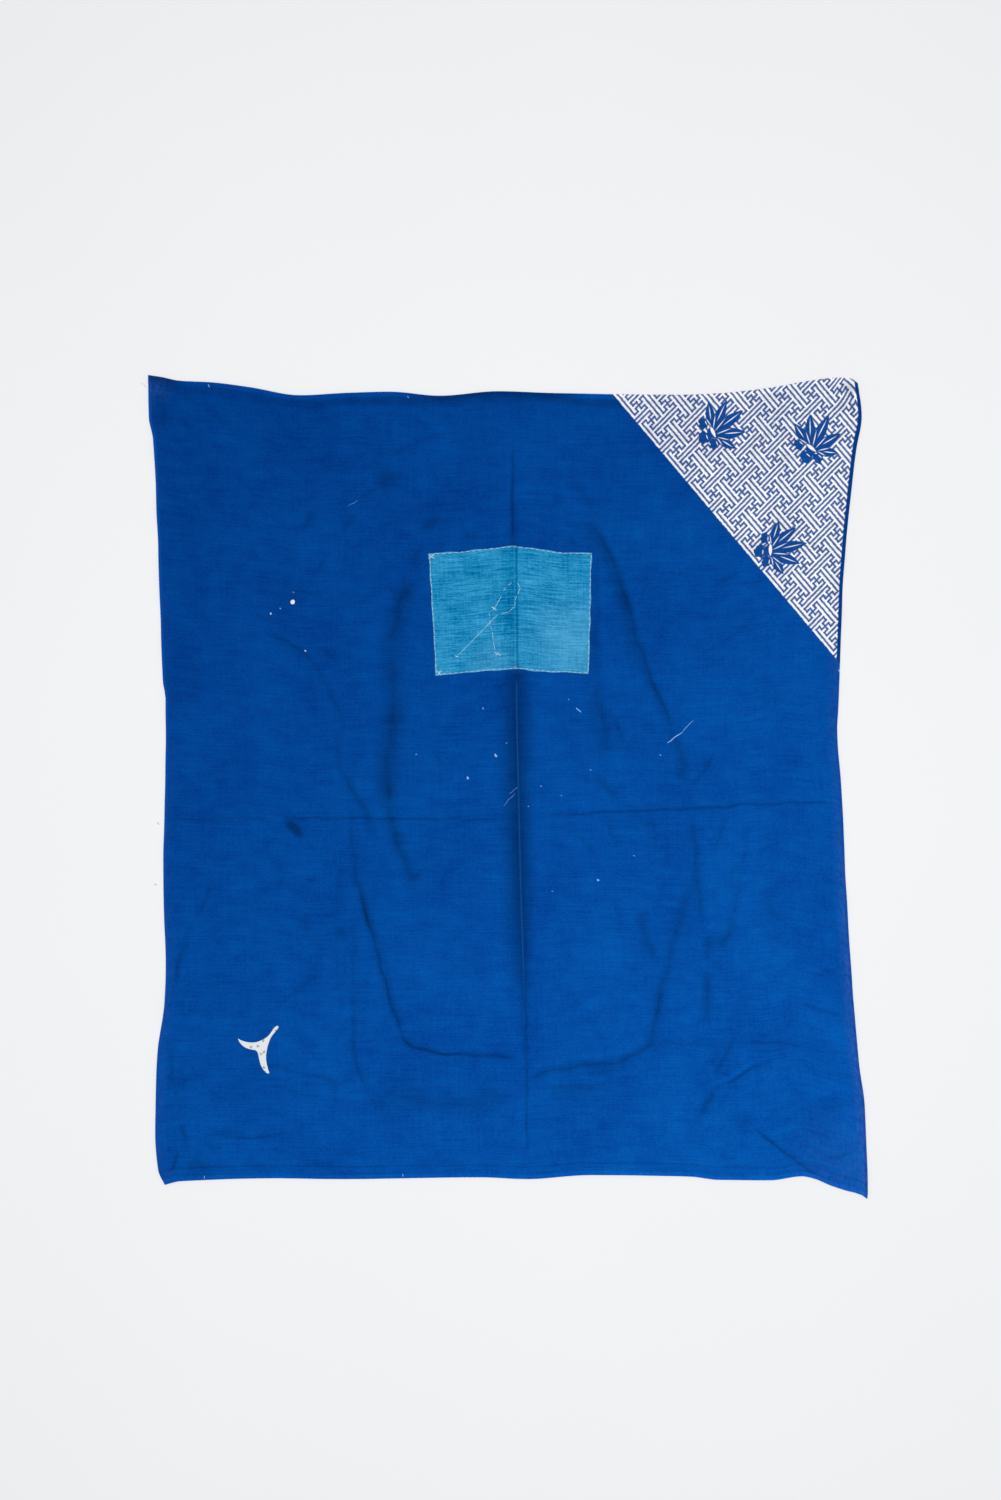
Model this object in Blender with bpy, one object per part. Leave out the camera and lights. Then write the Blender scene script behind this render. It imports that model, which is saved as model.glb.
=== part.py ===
"""A furoshiki laid open: one loom width of blue cotton, hemmed at two ends, with a patch sewn on
its face and a backing piece behind a tear.

The tables are in millimetres. x runs across the cloth, y along it, and the origin is on the
surface that the cloth lies on, under the middle of its outline. The cloth was cut as a rectangle
and has been pulled out of square by use, so a place on the cut cloth (across, along) is mapped
to the place (x, y) where it lies.
"""

import math

import bmesh
import bpy

MM = 0.001

# Driving dimensions
CUT_WIDTH = 700.0
CUT_LENGTH = 800.0
CLOTH_THICKNESS = 1.1
HEM_WIDTH = 9.0
HEM_STEP = 1.2
HEM_EXTRA = 0.9
LAYER_GAP = 0.3

PATCH_ACROSS = (277.0, 441.0)
PATCH_ALONG = (517.0, 638.0)
PATCH_THICKNESS = 1.0
PATCH_PULL_REACH = 70.0

BACKING_CENTRE = (-249.0, -261.0)
BACKING_SIZE = (64.0, 72.0)
BACKING_THICKNESS = 1.0
BACKING_MARGIN = 19.0
BACKING_FADE = 22.0

MOTH_HOLE_CENTRE = (-215.2, 185.0)
MOTH_HOLE_RADIUS = 2.6
MOTH_HOLE_SIDES = 12

# The laid outline, each side from one corner to the next: x, y
TOP_EDGE = [
    (-359.5, 411.5), (-348, 410), (-328, 406), (-298, 404.5), (-258, 399.5), (-208, 391.5),
    (-158, 394), (-118, 395), (-68, 391), (-8, 395.5), (52, 393.5), (172, 392), (212, 393.5),
    (262, 399), (302, 406), (330, 409), (342, 408.5), (349.5, 403.5),
]
BOTTOM_EDGE = [
    (-343, -397.5), (-328, -394), (-233, -391), (-168, -391.8), (-28, -390), (19, -391.8),
    (82, -387.8), (182, -389.3), (210, -392.5), (262, -393), (294, -389), (307, -391.7),
    (322, -398), (337, -403), (352, -407), (359, -411.5),
]
LEFT_EDGE = [
    (-359.5, 411.5), (-359, 370), (-354.5, 347), (-351.5, 287), (-346.5, 147), (-345, 107),
    (-342, 87), (-342, 47), (-344.5, -93), (-342, -183), (-343, -213), (-350, -263),
    (-351.5, -293), (-352.5, -345), (-349.5, -383), (-343, -397.5),
]
RIGHT_EDGE = [
    (349.5, 403.5), (353.5, 370), (348, 337), (340, 267), (335, 207), (330, 77), (329, 60),
    (334, -13), (337.5, -93), (344.5, -203), (350.5, -273), (356.5, -320), (358, -353),
    (359.5, -403), (359, -411.5),
]

# The sharp ridge where the cloth was pressed in half: y, x of the crest, rise, half width
RIDGE_ACROSS = 362.0
RIDGE_PULL_REACH = 130.0
RIDGE = [
    (412, 6.0, 0.0, 6), (337, 6.5, 1.0, 6), (287, 6.5, 2.0, 7), (242, 7.0, 3.2, 8),
    (225, 7.0, 2.2, 8), (130, 8.3, 2.4, 9), (108, 8.5, 6.0, 11), (80, 9.2, 8.0, 12),
    (-73, 14.0, 8.0, 12), (-153, 17.0, 7.0, 11), (-203, 18.0, 4.0, 9), (-233, 18.2, 2.0, 7),
    (-343, 19.0, 1.2, 6), (-412, 20.0, 0.0, 6),
]

# The laid outline of the patch, each side with the crest of the ridge at its middle: x, y
PATCH_TOP = [(-79.2, 233.0), (-49.1, 235.0), (7.0, 240.2), (57.0, 234.3), (83.7, 233.7)]
PATCH_BOTTOM = [(-70.3, 111.6), (-40.8, 114.0), (8.3, 117.4), (41.8, 114.6), (80.7, 113.4)]

# The middle of the cloth stands off the surface as one low crown
CROWN_CENTRE = (11.0, -3.0)
CROWN_HALF = (176.0, 288.0)
CROWN_RISE = 3.2
CROWN_SQUARENESS = 3.0
CROWN_RIM = 0.24

# Folds that sink into the crown: name, share of the depth, half width, path of (x, y)
SUNK_FOLDS = [
    ("inner left", 0.95, 13,
     [(-58, 272), (-88, 250), (-105, 215), (-116, 165), (-121, 130), (-117, 60), (-119, -20),
      (-102, -75), (-99, -105)]),
    ("inner right", 0.70, 11,
     [(86, 225), (92, 140), (98, 67), (104, 42), (98, 7), (112, -18)]),
    ("right", 0.95, 12,
     [(80, 262), (109, 214), (133, 137), (150, 87), (167, 42), (171, 5)]),
    ("left", 0.85, 12,
     [(-190, 121), (-170, 80), (-167, 42), (-156, -20), (-152, -95), (-126, -183),
      (-105, -250)]),
    ("foot left", 0.95, 10,
     [(-108, -246), (-92, -262), (-35, -269), (14, -270)]),
    ("foot right", 0.95, 10,
     [(22, -290), (62, -280), (105, -277), (138, -263), (148, -223), (166, -150),
      (186, -98), (186, -50)]),
]

# Folds that stand up as soft rolls: name, rise, half width, path of (x, y)
RAISED_FOLDS = [
    ("left roll", 2.0, 20, [(-136, 187), (-142, 137), (-139, 60), (-142, -3)]),
    ("right roll", 2.0, 17, [(104, 187), (112, 137), (137, 37)]),
    ("left shoulder", 2.2, 13, [(-246, 166), (-203, 140), (-176, 112)]),
    ("below the foot, left", 1.8, 13, [(-96, -279), (-38, -285), (10, -289)]),
    ("below the foot, right", 1.8, 13, [(36, -299), (102, -293), (152, -276)]),
    ("lower left", 2.2, 12, [(-147, -215), (-146, -258), (-138, -290), (-118, -316)]),
    ("left selvedge", 2.2, 12, [(-293, -104), (-313, -146), (-325, -185), (-331, -222)]),
    ("bottom left corner", 2.6, 11, [(-320, -332), (-314, -360), (-322, -386)]),
    ("above the bottom left", 1.6, 9, [(-292, -345), (-232, -343)]),
    ("lower right", 2.6, 12, [(244, -252), (228, -282), (208, -311), (190, -345)]),
    ("lower right branch", 2.2, 9, [(202, -300), (236, -282), (276, -264)]),
    ("corner dart", 3.0, 10, [(248, -338), (282, -360), (320, -388)]),
    ("right of the foot", 2.0, 13, [(194, -80), (203, -140), (206, -205)]),
    ("right selvedge", 1.7, 10, [(292, -212), (320, -222), (346, -222)]),
    ("right of the patch", 2.0, 15, [(50, 322), (70, 282), (92, 250)]),
    ("left of the patch", 1.6, 15, [(-84, 278), (-50, 300)]),
    ("top left slant", 1.5, 12, [(-130, 338), (-78, 356), (-36, 374)]),
    ("top left corner", 2.2, 12, [(-346, 398), (-312, 379)]),
]
FOLD_TAPER = 30.0

# The tear, cut through the cloth: three arms about its middle, going round it: x, y
TEAR = [
    (-269.1, -250.7), (-256.0, -254.6), (-245.7, -252.2), (-238.0, -247.5), (-234.7, -242.1),
    (-229.2, -237.8), (-230.4, -242.6), (-236.4, -249.8), (-240.0, -261.3), (-240.7, -271.0),
    (-238.3, -285.2), (-244.7, -279.9), (-248.3, -267.5), (-252.4, -262.2), (-262.9, -257.9),
]

# The grid of the solid over the cut cloth: where each band ends, and its number of cells
BANDS_ACROSS = [
    (160.0, 9), (277.0, 11), (348.0, 6), (354.0, 1), (359.0, 1), (362.0, 1), (365.0, 1),
    (370.0, 1), (376.0, 1), (441.0, 5), (550.0, 10), (CUT_WIDTH, 9),
]
BANDS_ALONG = [
    (HEM_WIDTH - HEM_STEP, 1), (HEM_WIDTH, 1), (130.0, 9), (400.0, 15), (517.0, 7),
    (638.0, 8), (CUT_LENGTH - HEM_WIDTH, 9), (CUT_LENGTH - HEM_WIDTH + HEM_STEP, 1),
    (CUT_LENGTH, 1),
]

# Colours and finishes: name, base colour, roughness
FINISHES = {
    "furoshiki_cloth": ((0.012, 0.075, 0.37), 0.9),
    "sewn_patch": ((0.05, 0.25, 0.48), 0.9),
    "tear_backing": ((0.78, 0.79, 0.80), 0.9),
}


def clear_scene():
    for thing in list(bpy.data.objects):
        bpy.data.objects.remove(thing, do_unlink=True)


def smooth_step(share):
    share = min(max(share, 0.0), 1.0)
    return share * share * (3.0 - 2.0 * share)


def column(rows, key, value):
    """Two columns of a table, with the key rising."""
    return sorted((row[key], row[value]) for row in rows)


def read_curve(pairs, at):
    """The value at a key, on a smooth curve through the pairs that never overshoots them."""
    if at <= pairs[0][0]:
        return pairs[0][1]
    if at >= pairs[-1][0]:
        return pairs[-1][1]
    right = next(i for i, pair in enumerate(pairs) if pair[0] > at)
    left = right - 1

    def slope(i):
        return (pairs[i + 1][1] - pairs[i][1]) / (pairs[i + 1][0] - pairs[i][0])

    def tangent(i):
        if i == 0 or i == len(pairs) - 1:
            return slope(min(i, len(pairs) - 2))
        before, after = slope(i - 1), slope(i)
        return 0.0 if before * after <= 0 else 2 * before * after / (before + after)

    span = pairs[right][0] - pairs[left][0]
    t = (at - pairs[left][0]) / span
    return (
        pairs[left][1] * (1 + 2 * t) * (1 - t) ** 2
        + pairs[right][1] * t * t * (3 - 2 * t)
        + span * tangent(left) * t * (1 - t) ** 2
        - span * tangent(right) * t * t * (1 - t)
    )


TOP_CURVE = column(TOP_EDGE, 0, 1)
BOTTOM_CURVE = column(BOTTOM_EDGE, 0, 1)
LEFT_CURVE = column(LEFT_EDGE, 1, 0)
RIGHT_CURVE = column(RIGHT_EDGE, 1, 0)
CREST_CURVE = column(RIDGE, 0, 1)
RIDGE_RISE = column(RIDGE, 0, 2)
RIDGE_HALF = column(RIDGE, 0, 3)
PATCH_TOP_CURVE = column(PATCH_TOP, 0, 1)
PATCH_BOTTOM_CURVE = column(PATCH_BOTTOM, 0, 1)


def mix(a, b, share):
    return a + (b - a) * share


def between_edges(across, along):
    """Where a point of the cut cloth lies, from the four laid edges alone."""
    u = across / CUT_WIDTH
    v = along / CUT_LENGTH
    top_left, top_right = TOP_EDGE[0], TOP_EDGE[-1]
    bottom_left, bottom_right = BOTTOM_EDGE[0], BOTTOM_EDGE[-1]
    top_x = mix(top_left[0], top_right[0], u)
    bottom_x = mix(bottom_left[0], bottom_right[0], u)
    left_y = mix(bottom_left[1], top_left[1], v)
    right_y = mix(bottom_right[1], top_right[1], v)
    top = (top_x, read_curve(TOP_CURVE, top_x))
    bottom = (bottom_x, read_curve(BOTTOM_CURVE, bottom_x))
    left = (read_curve(LEFT_CURVE, left_y), left_y)
    right = (read_curve(RIGHT_CURVE, right_y), right_y)
    place = []
    for i in (0, 1):
        corners = mix(mix(bottom_left[i], bottom_right[i], u), mix(top_left[i], top_right[i], u), v)
        place.append(mix(bottom[i], top[i], v) + mix(left[i], right[i], u) - corners)
    return place


def with_ridge(across, along):
    """The same, with the pressed line of the cloth drawn over to the crest of the ridge."""
    x, y = between_edges(across, along)
    line_x, line_y = between_edges(RIDGE_ACROSS, along)
    pull = smooth_step(1.0 - abs(across - RIDGE_ACROSS) / RIDGE_PULL_REACH)
    return [x + pull * (read_curve(CREST_CURVE, line_y) - line_x), y]


def patch_place(across, along):
    """Where a point of the patch lies, from the patch's own laid outline."""
    if across < RIDGE_ACROSS:
        share = (across - PATCH_ACROSS[0]) / (RIDGE_ACROSS - PATCH_ACROSS[0])
        first, last = 0, 2
    else:
        share = (across - RIDGE_ACROSS) / (PATCH_ACROSS[1] - RIDGE_ACROSS)
        first, last = 2, 4
    top_x = mix(PATCH_TOP[first][0], PATCH_TOP[last][0], share)
    bottom_x = mix(PATCH_BOTTOM[first][0], PATCH_BOTTOM[last][0], share)
    v = (along - PATCH_ALONG[0]) / (PATCH_ALONG[1] - PATCH_ALONG[0])
    top_y = read_curve(PATCH_TOP_CURVE, top_x)
    bottom_y = read_curve(PATCH_BOTTOM_CURVE, bottom_x)
    return [mix(bottom_x, top_x, v), mix(bottom_y, top_y, v)]


def laid(across, along):
    """Where a point of the cut cloth lies, with the patch pulling the cloth about it."""
    x, y = with_ridge(across, along)
    near_across = min(max(across, PATCH_ACROSS[0]), PATCH_ACROSS[1])
    near_along = min(max(along, PATCH_ALONG[0]), PATCH_ALONG[1])
    away = math.hypot(across - near_across, along - near_along)
    pull = smooth_step(1.0 - away / PATCH_PULL_REACH)
    if pull > 0.0:
        free = with_ridge(near_across, near_along)
        held = patch_place(near_across, near_along)
        x += pull * (held[0] - free[0])
        y += pull * (held[1] - free[1])
    return x, y


def along_path(path, x, y):
    """Distance from a point to a path, and how far along it from its nearer end."""
    lengths = [math.dist(a, b) for a, b in zip(path, path[1:])]
    total = sum(lengths)
    nearest, run, done = math.inf, 0.0, 0.0
    for (ax, ay), (bx, by), length in zip(path, path[1:], lengths):
        t = ((x - ax) * (bx - ax) + (y - ay) * (by - ay)) / (length * length)
        t = min(max(t, 0.0), 1.0)
        distance = math.hypot(x - mix(ax, bx, t), y - mix(ay, by, t))
        if distance < nearest:
            nearest, run = distance, done + t * length
        done += length
    return nearest, min(run, total - run)


def fold_strength(half_width, path, x, y):
    """One on the line of a fold, zero past its half width and past its ends."""
    distance, run = along_path(path, x, y)
    if distance >= half_width:
        return 0.0
    across = 0.5 + 0.5 * math.cos(math.pi * distance / half_width)
    return across * smooth_step(0.15 + run / FOLD_TAPER)


def crown(x, y):
    reach_x = abs(x - CROWN_CENTRE[0]) / CROWN_HALF[0]
    reach_y = abs(y - CROWN_CENTRE[1]) / CROWN_HALF[1]
    reach = (reach_x**CROWN_SQUARENESS + reach_y**CROWN_SQUARENESS) ** (1 / CROWN_SQUARENESS)
    return CROWN_RISE * smooth_step((1.0 - reach) / CROWN_RIM + 0.5)


def over_backing(x, y):
    """The lift where the cloth passes over the backing piece."""
    out_x = abs(x - BACKING_CENTRE[0]) - BACKING_SIZE[0] / 2
    out_y = abs(y - BACKING_CENTRE[1]) - BACKING_SIZE[1] / 2
    away = math.hypot(max(out_x, 0.0), max(out_y, 0.0))
    share = smooth_step(1.0 - (away - BACKING_MARGIN) / BACKING_FADE)
    return (BACKING_THICKNESS + LAYER_GAP) * share


def underside(x, y):
    """Height of the cloth's underside over the surface."""
    height = crown(x, y)
    for name, depth, half_width, path in SUNK_FOLDS:
        height *= 1.0 - depth * fold_strength(half_width, path, x, y)
    for name, rise, half_width, path in RAISED_FOLDS:
        height += rise * fold_strength(half_width, path, x, y)
    half = read_curve(RIDGE_HALF, y)
    off_crest = abs(x - read_curve(CREST_CURVE, y)) / half
    if off_crest < 1.0:
        height += read_curve(RIDGE_RISE, y) * (1.0 - off_crest) ** 1.4
    return height + over_backing(x, y)


def hem_lift(along):
    """The folded hems lie double at the two ends of the cloth."""
    from_end = min(along, CUT_LENGTH - along)
    return HEM_EXTRA * smooth_step((HEM_WIDTH - from_end) / HEM_STEP)


def face_height(across, along):
    """Height of the cloth's face over the surface."""
    x, y = laid(across, along)
    return underside(x, y) + CLOTH_THICKNESS + hem_lift(along)


def grid_lines(bands):
    lines = [0.0]
    for end, cells in bands:
        start = lines[-1]
        lines += [start + (end - start) * (i + 1) / cells for i in range(cells)]
    return lines


def closed_sheet(name, across_lines, along_lines, low, high):
    """A sheet over a grid of the cut cloth, closed by a wall round its rim."""
    bm = bmesh.new()

    def layer(height_of):
        points = {}
        for i, across in enumerate(across_lines):
            for j, along in enumerate(along_lines):
                x, y = laid(across, along)
                z = height_of(across, along)
                points[i, j] = bm.verts.new((x * MM, y * MM, z * MM))
        return points

    bottom = layer(low)
    top = layer(high)
    last_i, last_j = len(across_lines) - 1, len(along_lines) - 1
    for i in range(last_i):
        for j in range(last_j):
            here, right = (i, j), (i + 1, j)
            above, corner = (i, j + 1), (i + 1, j + 1)
            for triangle in ((here, right, corner), (here, corner, above)):
                bm.faces.new([top[key] for key in triangle])
                bm.faces.new([bottom[key] for key in reversed(triangle)])
    rim = [(i, 0) for i in range(last_i)]
    rim += [(last_i, j) for j in range(last_j)]
    rim += [(i, last_j) for i in range(last_i, 0, -1)]
    rim += [(0, j) for j in range(last_j, 0, -1)]
    for a, b in zip(rim, rim[1:] + rim[:1]):
        bm.faces.new((bottom[a], bottom[b], top[b]))
        bm.faces.new((bottom[a], top[b], top[a]))
    return add_object(name, bm)


def add_object(name, bm):
    bmesh.ops.recalc_face_normals(bm, faces=bm.faces)
    mesh = bpy.data.meshes.new(name)
    bm.to_mesh(mesh)
    bm.free()
    thing = bpy.data.objects.new(name, mesh)
    bpy.context.scene.collection.objects.link(thing)
    return thing


def finish(thing):
    colour, roughness = FINISHES[thing.name]
    material = bpy.data.materials.new(thing.name)
    material.use_nodes = True
    shader = material.node_tree.nodes["Principled BSDF"]
    shader.inputs["Base Color"].default_value = (*colour, 1.0)
    shader.inputs["Roughness"].default_value = roughness
    shader.inputs["Metallic"].default_value = 0.0
    thing.data.materials.append(material)
    thing.data.shade_smooth()
    thing.data.set_sharp_from_angle(angle=math.radians(40))


def prism(bm, outline, low, high):
    """An upright prism on an outline of (x, y)."""
    base = [bm.verts.new((x * MM, y * MM, low * MM)) for x, y in outline]
    floor = bm.faces.new(base)
    raised = bmesh.ops.extrude_face_region(bm, geom=[floor])["geom"]
    lifted = [item for item in raised if isinstance(item, bmesh.types.BMVert)]
    bmesh.ops.translate(bm, verts=lifted, vec=(0, 0, (high - low) * MM))


def circle(centre, radius, sides):
    turns = [2 * math.pi * i / sides for i in range(sides)]
    return [(centre[0] + radius * math.cos(t), centre[1] + radius * math.sin(t)) for t in turns]


def make_cloth():
    def low(across, along):
        return underside(*laid(across, along))

    across_lines = grid_lines(BANDS_ACROSS)
    along_lines = grid_lines(BANDS_ALONG)
    cloth = closed_sheet("furoshiki_cloth", across_lines, along_lines, low, face_height)
    holes = bmesh.new()
    prism(holes, TEAR, -2.0, 8.0)
    prism(holes, circle(MOTH_HOLE_CENTRE, MOTH_HOLE_RADIUS, MOTH_HOLE_SIDES), -2.0, 8.0)
    cutter = add_object("hole_cutter", holes)
    cutter.hide_render = True
    cutter.display_type = "WIRE"
    cut = cloth.modifiers.new("holes", "BOOLEAN")
    cut.operation = "DIFFERENCE"
    cut.solver = "EXACT"
    cut.object = cutter
    return cloth


def make_patch():
    def inside(lines, ends):
        return [line for line in lines if ends[0] <= line <= ends[1]]

    def low(across, along):
        return face_height(across, along) + LAYER_GAP

    def high(across, along):
        return low(across, along) + PATCH_THICKNESS

    across_lines = inside(grid_lines(BANDS_ACROSS), PATCH_ACROSS)
    along_lines = inside(grid_lines(BANDS_ALONG), PATCH_ALONG)
    return closed_sheet("sewn_patch", across_lines, along_lines, low, high)


def make_backing():
    half_x, half_y = BACKING_SIZE[0] / 2, BACKING_SIZE[1] / 2
    signs = ((-1, -1), (1, -1), (1, 1), (-1, 1))
    corners = [
        (BACKING_CENTRE[0] + sx * half_x, BACKING_CENTRE[1] + sy * half_y) for sx, sy in signs
    ]
    bm = bmesh.new()
    prism(bm, corners, 0.0, BACKING_THICKNESS)
    return add_object("tear_backing", bm)


clear_scene()
for piece in (make_cloth(), make_patch(), make_backing()):
    finish(piece)
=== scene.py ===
import math

import bpy
import numpy as np
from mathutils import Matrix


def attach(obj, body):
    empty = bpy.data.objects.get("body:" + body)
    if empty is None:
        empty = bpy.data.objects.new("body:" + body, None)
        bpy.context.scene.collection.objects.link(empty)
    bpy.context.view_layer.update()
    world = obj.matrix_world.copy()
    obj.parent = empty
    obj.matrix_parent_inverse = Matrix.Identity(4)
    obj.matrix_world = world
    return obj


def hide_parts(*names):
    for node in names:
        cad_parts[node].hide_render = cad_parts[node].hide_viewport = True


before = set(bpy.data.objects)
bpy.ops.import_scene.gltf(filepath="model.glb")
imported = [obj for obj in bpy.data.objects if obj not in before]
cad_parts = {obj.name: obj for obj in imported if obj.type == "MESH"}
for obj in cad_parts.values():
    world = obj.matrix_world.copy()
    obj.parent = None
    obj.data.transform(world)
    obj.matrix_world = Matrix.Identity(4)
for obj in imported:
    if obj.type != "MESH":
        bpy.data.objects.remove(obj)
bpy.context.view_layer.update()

# The cloth is one loom width of plain-woven cotton with a selvedge down each side and a narrow
# folded hem at each end. It lies open, pulled out of square by use, with the ridge of an old
# pressed fold up its middle and drape folds round a low crown. Its sizes are in millimetres.
MM = 0.001
CUT_WIDTH = 700.0
CUT_LENGTH = 800.0
CLOTH_THICKNESS = 0.45
HEM_WIDTH = 9.0
HEM_STEP = 1.5
HEM_EXTRA = 0.6

TOP_EDGE = [
    (-359.5, 411.5), (-348, 410), (-328, 406), (-298, 404.5), (-258, 399.5), (-208, 391.5),
    (-158, 394), (-118, 395), (-68, 391), (-8, 395.5), (52, 393.5), (172, 392), (212, 393.5),
    (262, 399), (302, 406), (330, 409), (342, 408.5), (349.5, 403.5),
]
BOTTOM_EDGE = [
    (-343, -397.5), (-328, -394), (-233, -391), (-168, -391.8), (-28, -390), (19, -391.8),
    (82, -387.8), (182, -389.3), (210, -392.5), (262, -393), (294, -389), (307, -391.7),
    (322, -398), (337, -403), (352, -407), (359, -411.5),
]
LEFT_EDGE = [
    (-359.5, 411.5), (-359, 370), (-354.5, 347), (-351.5, 287), (-346.5, 147), (-345, 107),
    (-342, 87), (-342, 47), (-344.5, -93), (-342, -183), (-343, -213), (-350, -263),
    (-351.5, -293), (-352.5, -345), (-349.5, -383), (-343, -397.5),
]
RIGHT_EDGE = [
    (349.5, 403.5), (353.5, 370), (348, 337), (340, 267), (335, 207), (330, 77), (329, 60),
    (334, -13), (337.5, -93), (344.5, -203), (350.5, -273), (356.5, -320), (358, -353),
    (359.5, -403), (359, -411.5),
]

# The ridge: y and x of its crest, its rise and its half width
RIDGE_ACROSS = 362.0
RIDGE_PULL_REACH = 130.0
RIDGE_SHARPNESS = 1.9
RIDGE = [
    (412, 6, 0, 5), (337, 6, 0.8, 5), (287, 5.4, 2, 5), (252, 6.4, 3.4, 7),
    (242, 7, 3.2, 9), (225, 7.2, 2.2, 9), (130, 8.3, 2.4, 10), (108, 8.4, 8, 19),
    (67, 8.8, 8.5, 20), (-13, 10.6, 8.5, 19), (-113, 13, 7.8, 17), (-173, 15, 6, 15),
    (-233, 17.4, 2, 7), (-343, 19, 1.4, 5), (-412, 20, 0, 5),
]

# Painted shade along the ridge: y, how dark it is beside the crest, and its reach to the left and
# right
RIDGE_PAINTED_SHADE = [
    (412, 0, 5, 5), (350, 0, 5, 5), (330, 0.05, 5, 5), (270, 0.08, 8, 8),
    (242, 0.12, 12, 12), (238, 0, 12, 12), (118, 0, 20, 20), (112, 0.44, 24, 22),
    (60, 0.46, 24, 21), (-33, 0.48, 24, 19), (-120, 0.4, 24, 18), (-180, 0.28, 20, 14),
    (-240, 0.05, 10, 8), (-343, 0.02, 6, 6), (-380, 0, 5, 5),
]

# The patch holds the cloth under it, so where it lies is known before the cloth is laid
PATCH_ACROSS = (277.0, 441.0)
PATCH_ALONG = (517.0, 638.0)
PATCH_PULL_REACH = 70.0
PATCH_TOP = [(-79.2, 233), (-49.1, 235), (7, 240.2), (57, 234.3), (83.7, 233.7)]
PATCH_BOTTOM = [(-72.2, 111.6), (-40.8, 114), (8.3, 117.4), (41.8, 114.6), (80.7, 113.4)]

# The low crown in the middle
CROWN_CENTRE = (11.0, -3.0)
CROWN_HALF = (176.0, 288.0)
CROWN_RISE = 3.2
CROWN_SQUARENESS = 3.0
CROWN_RIM = 0.24
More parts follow.
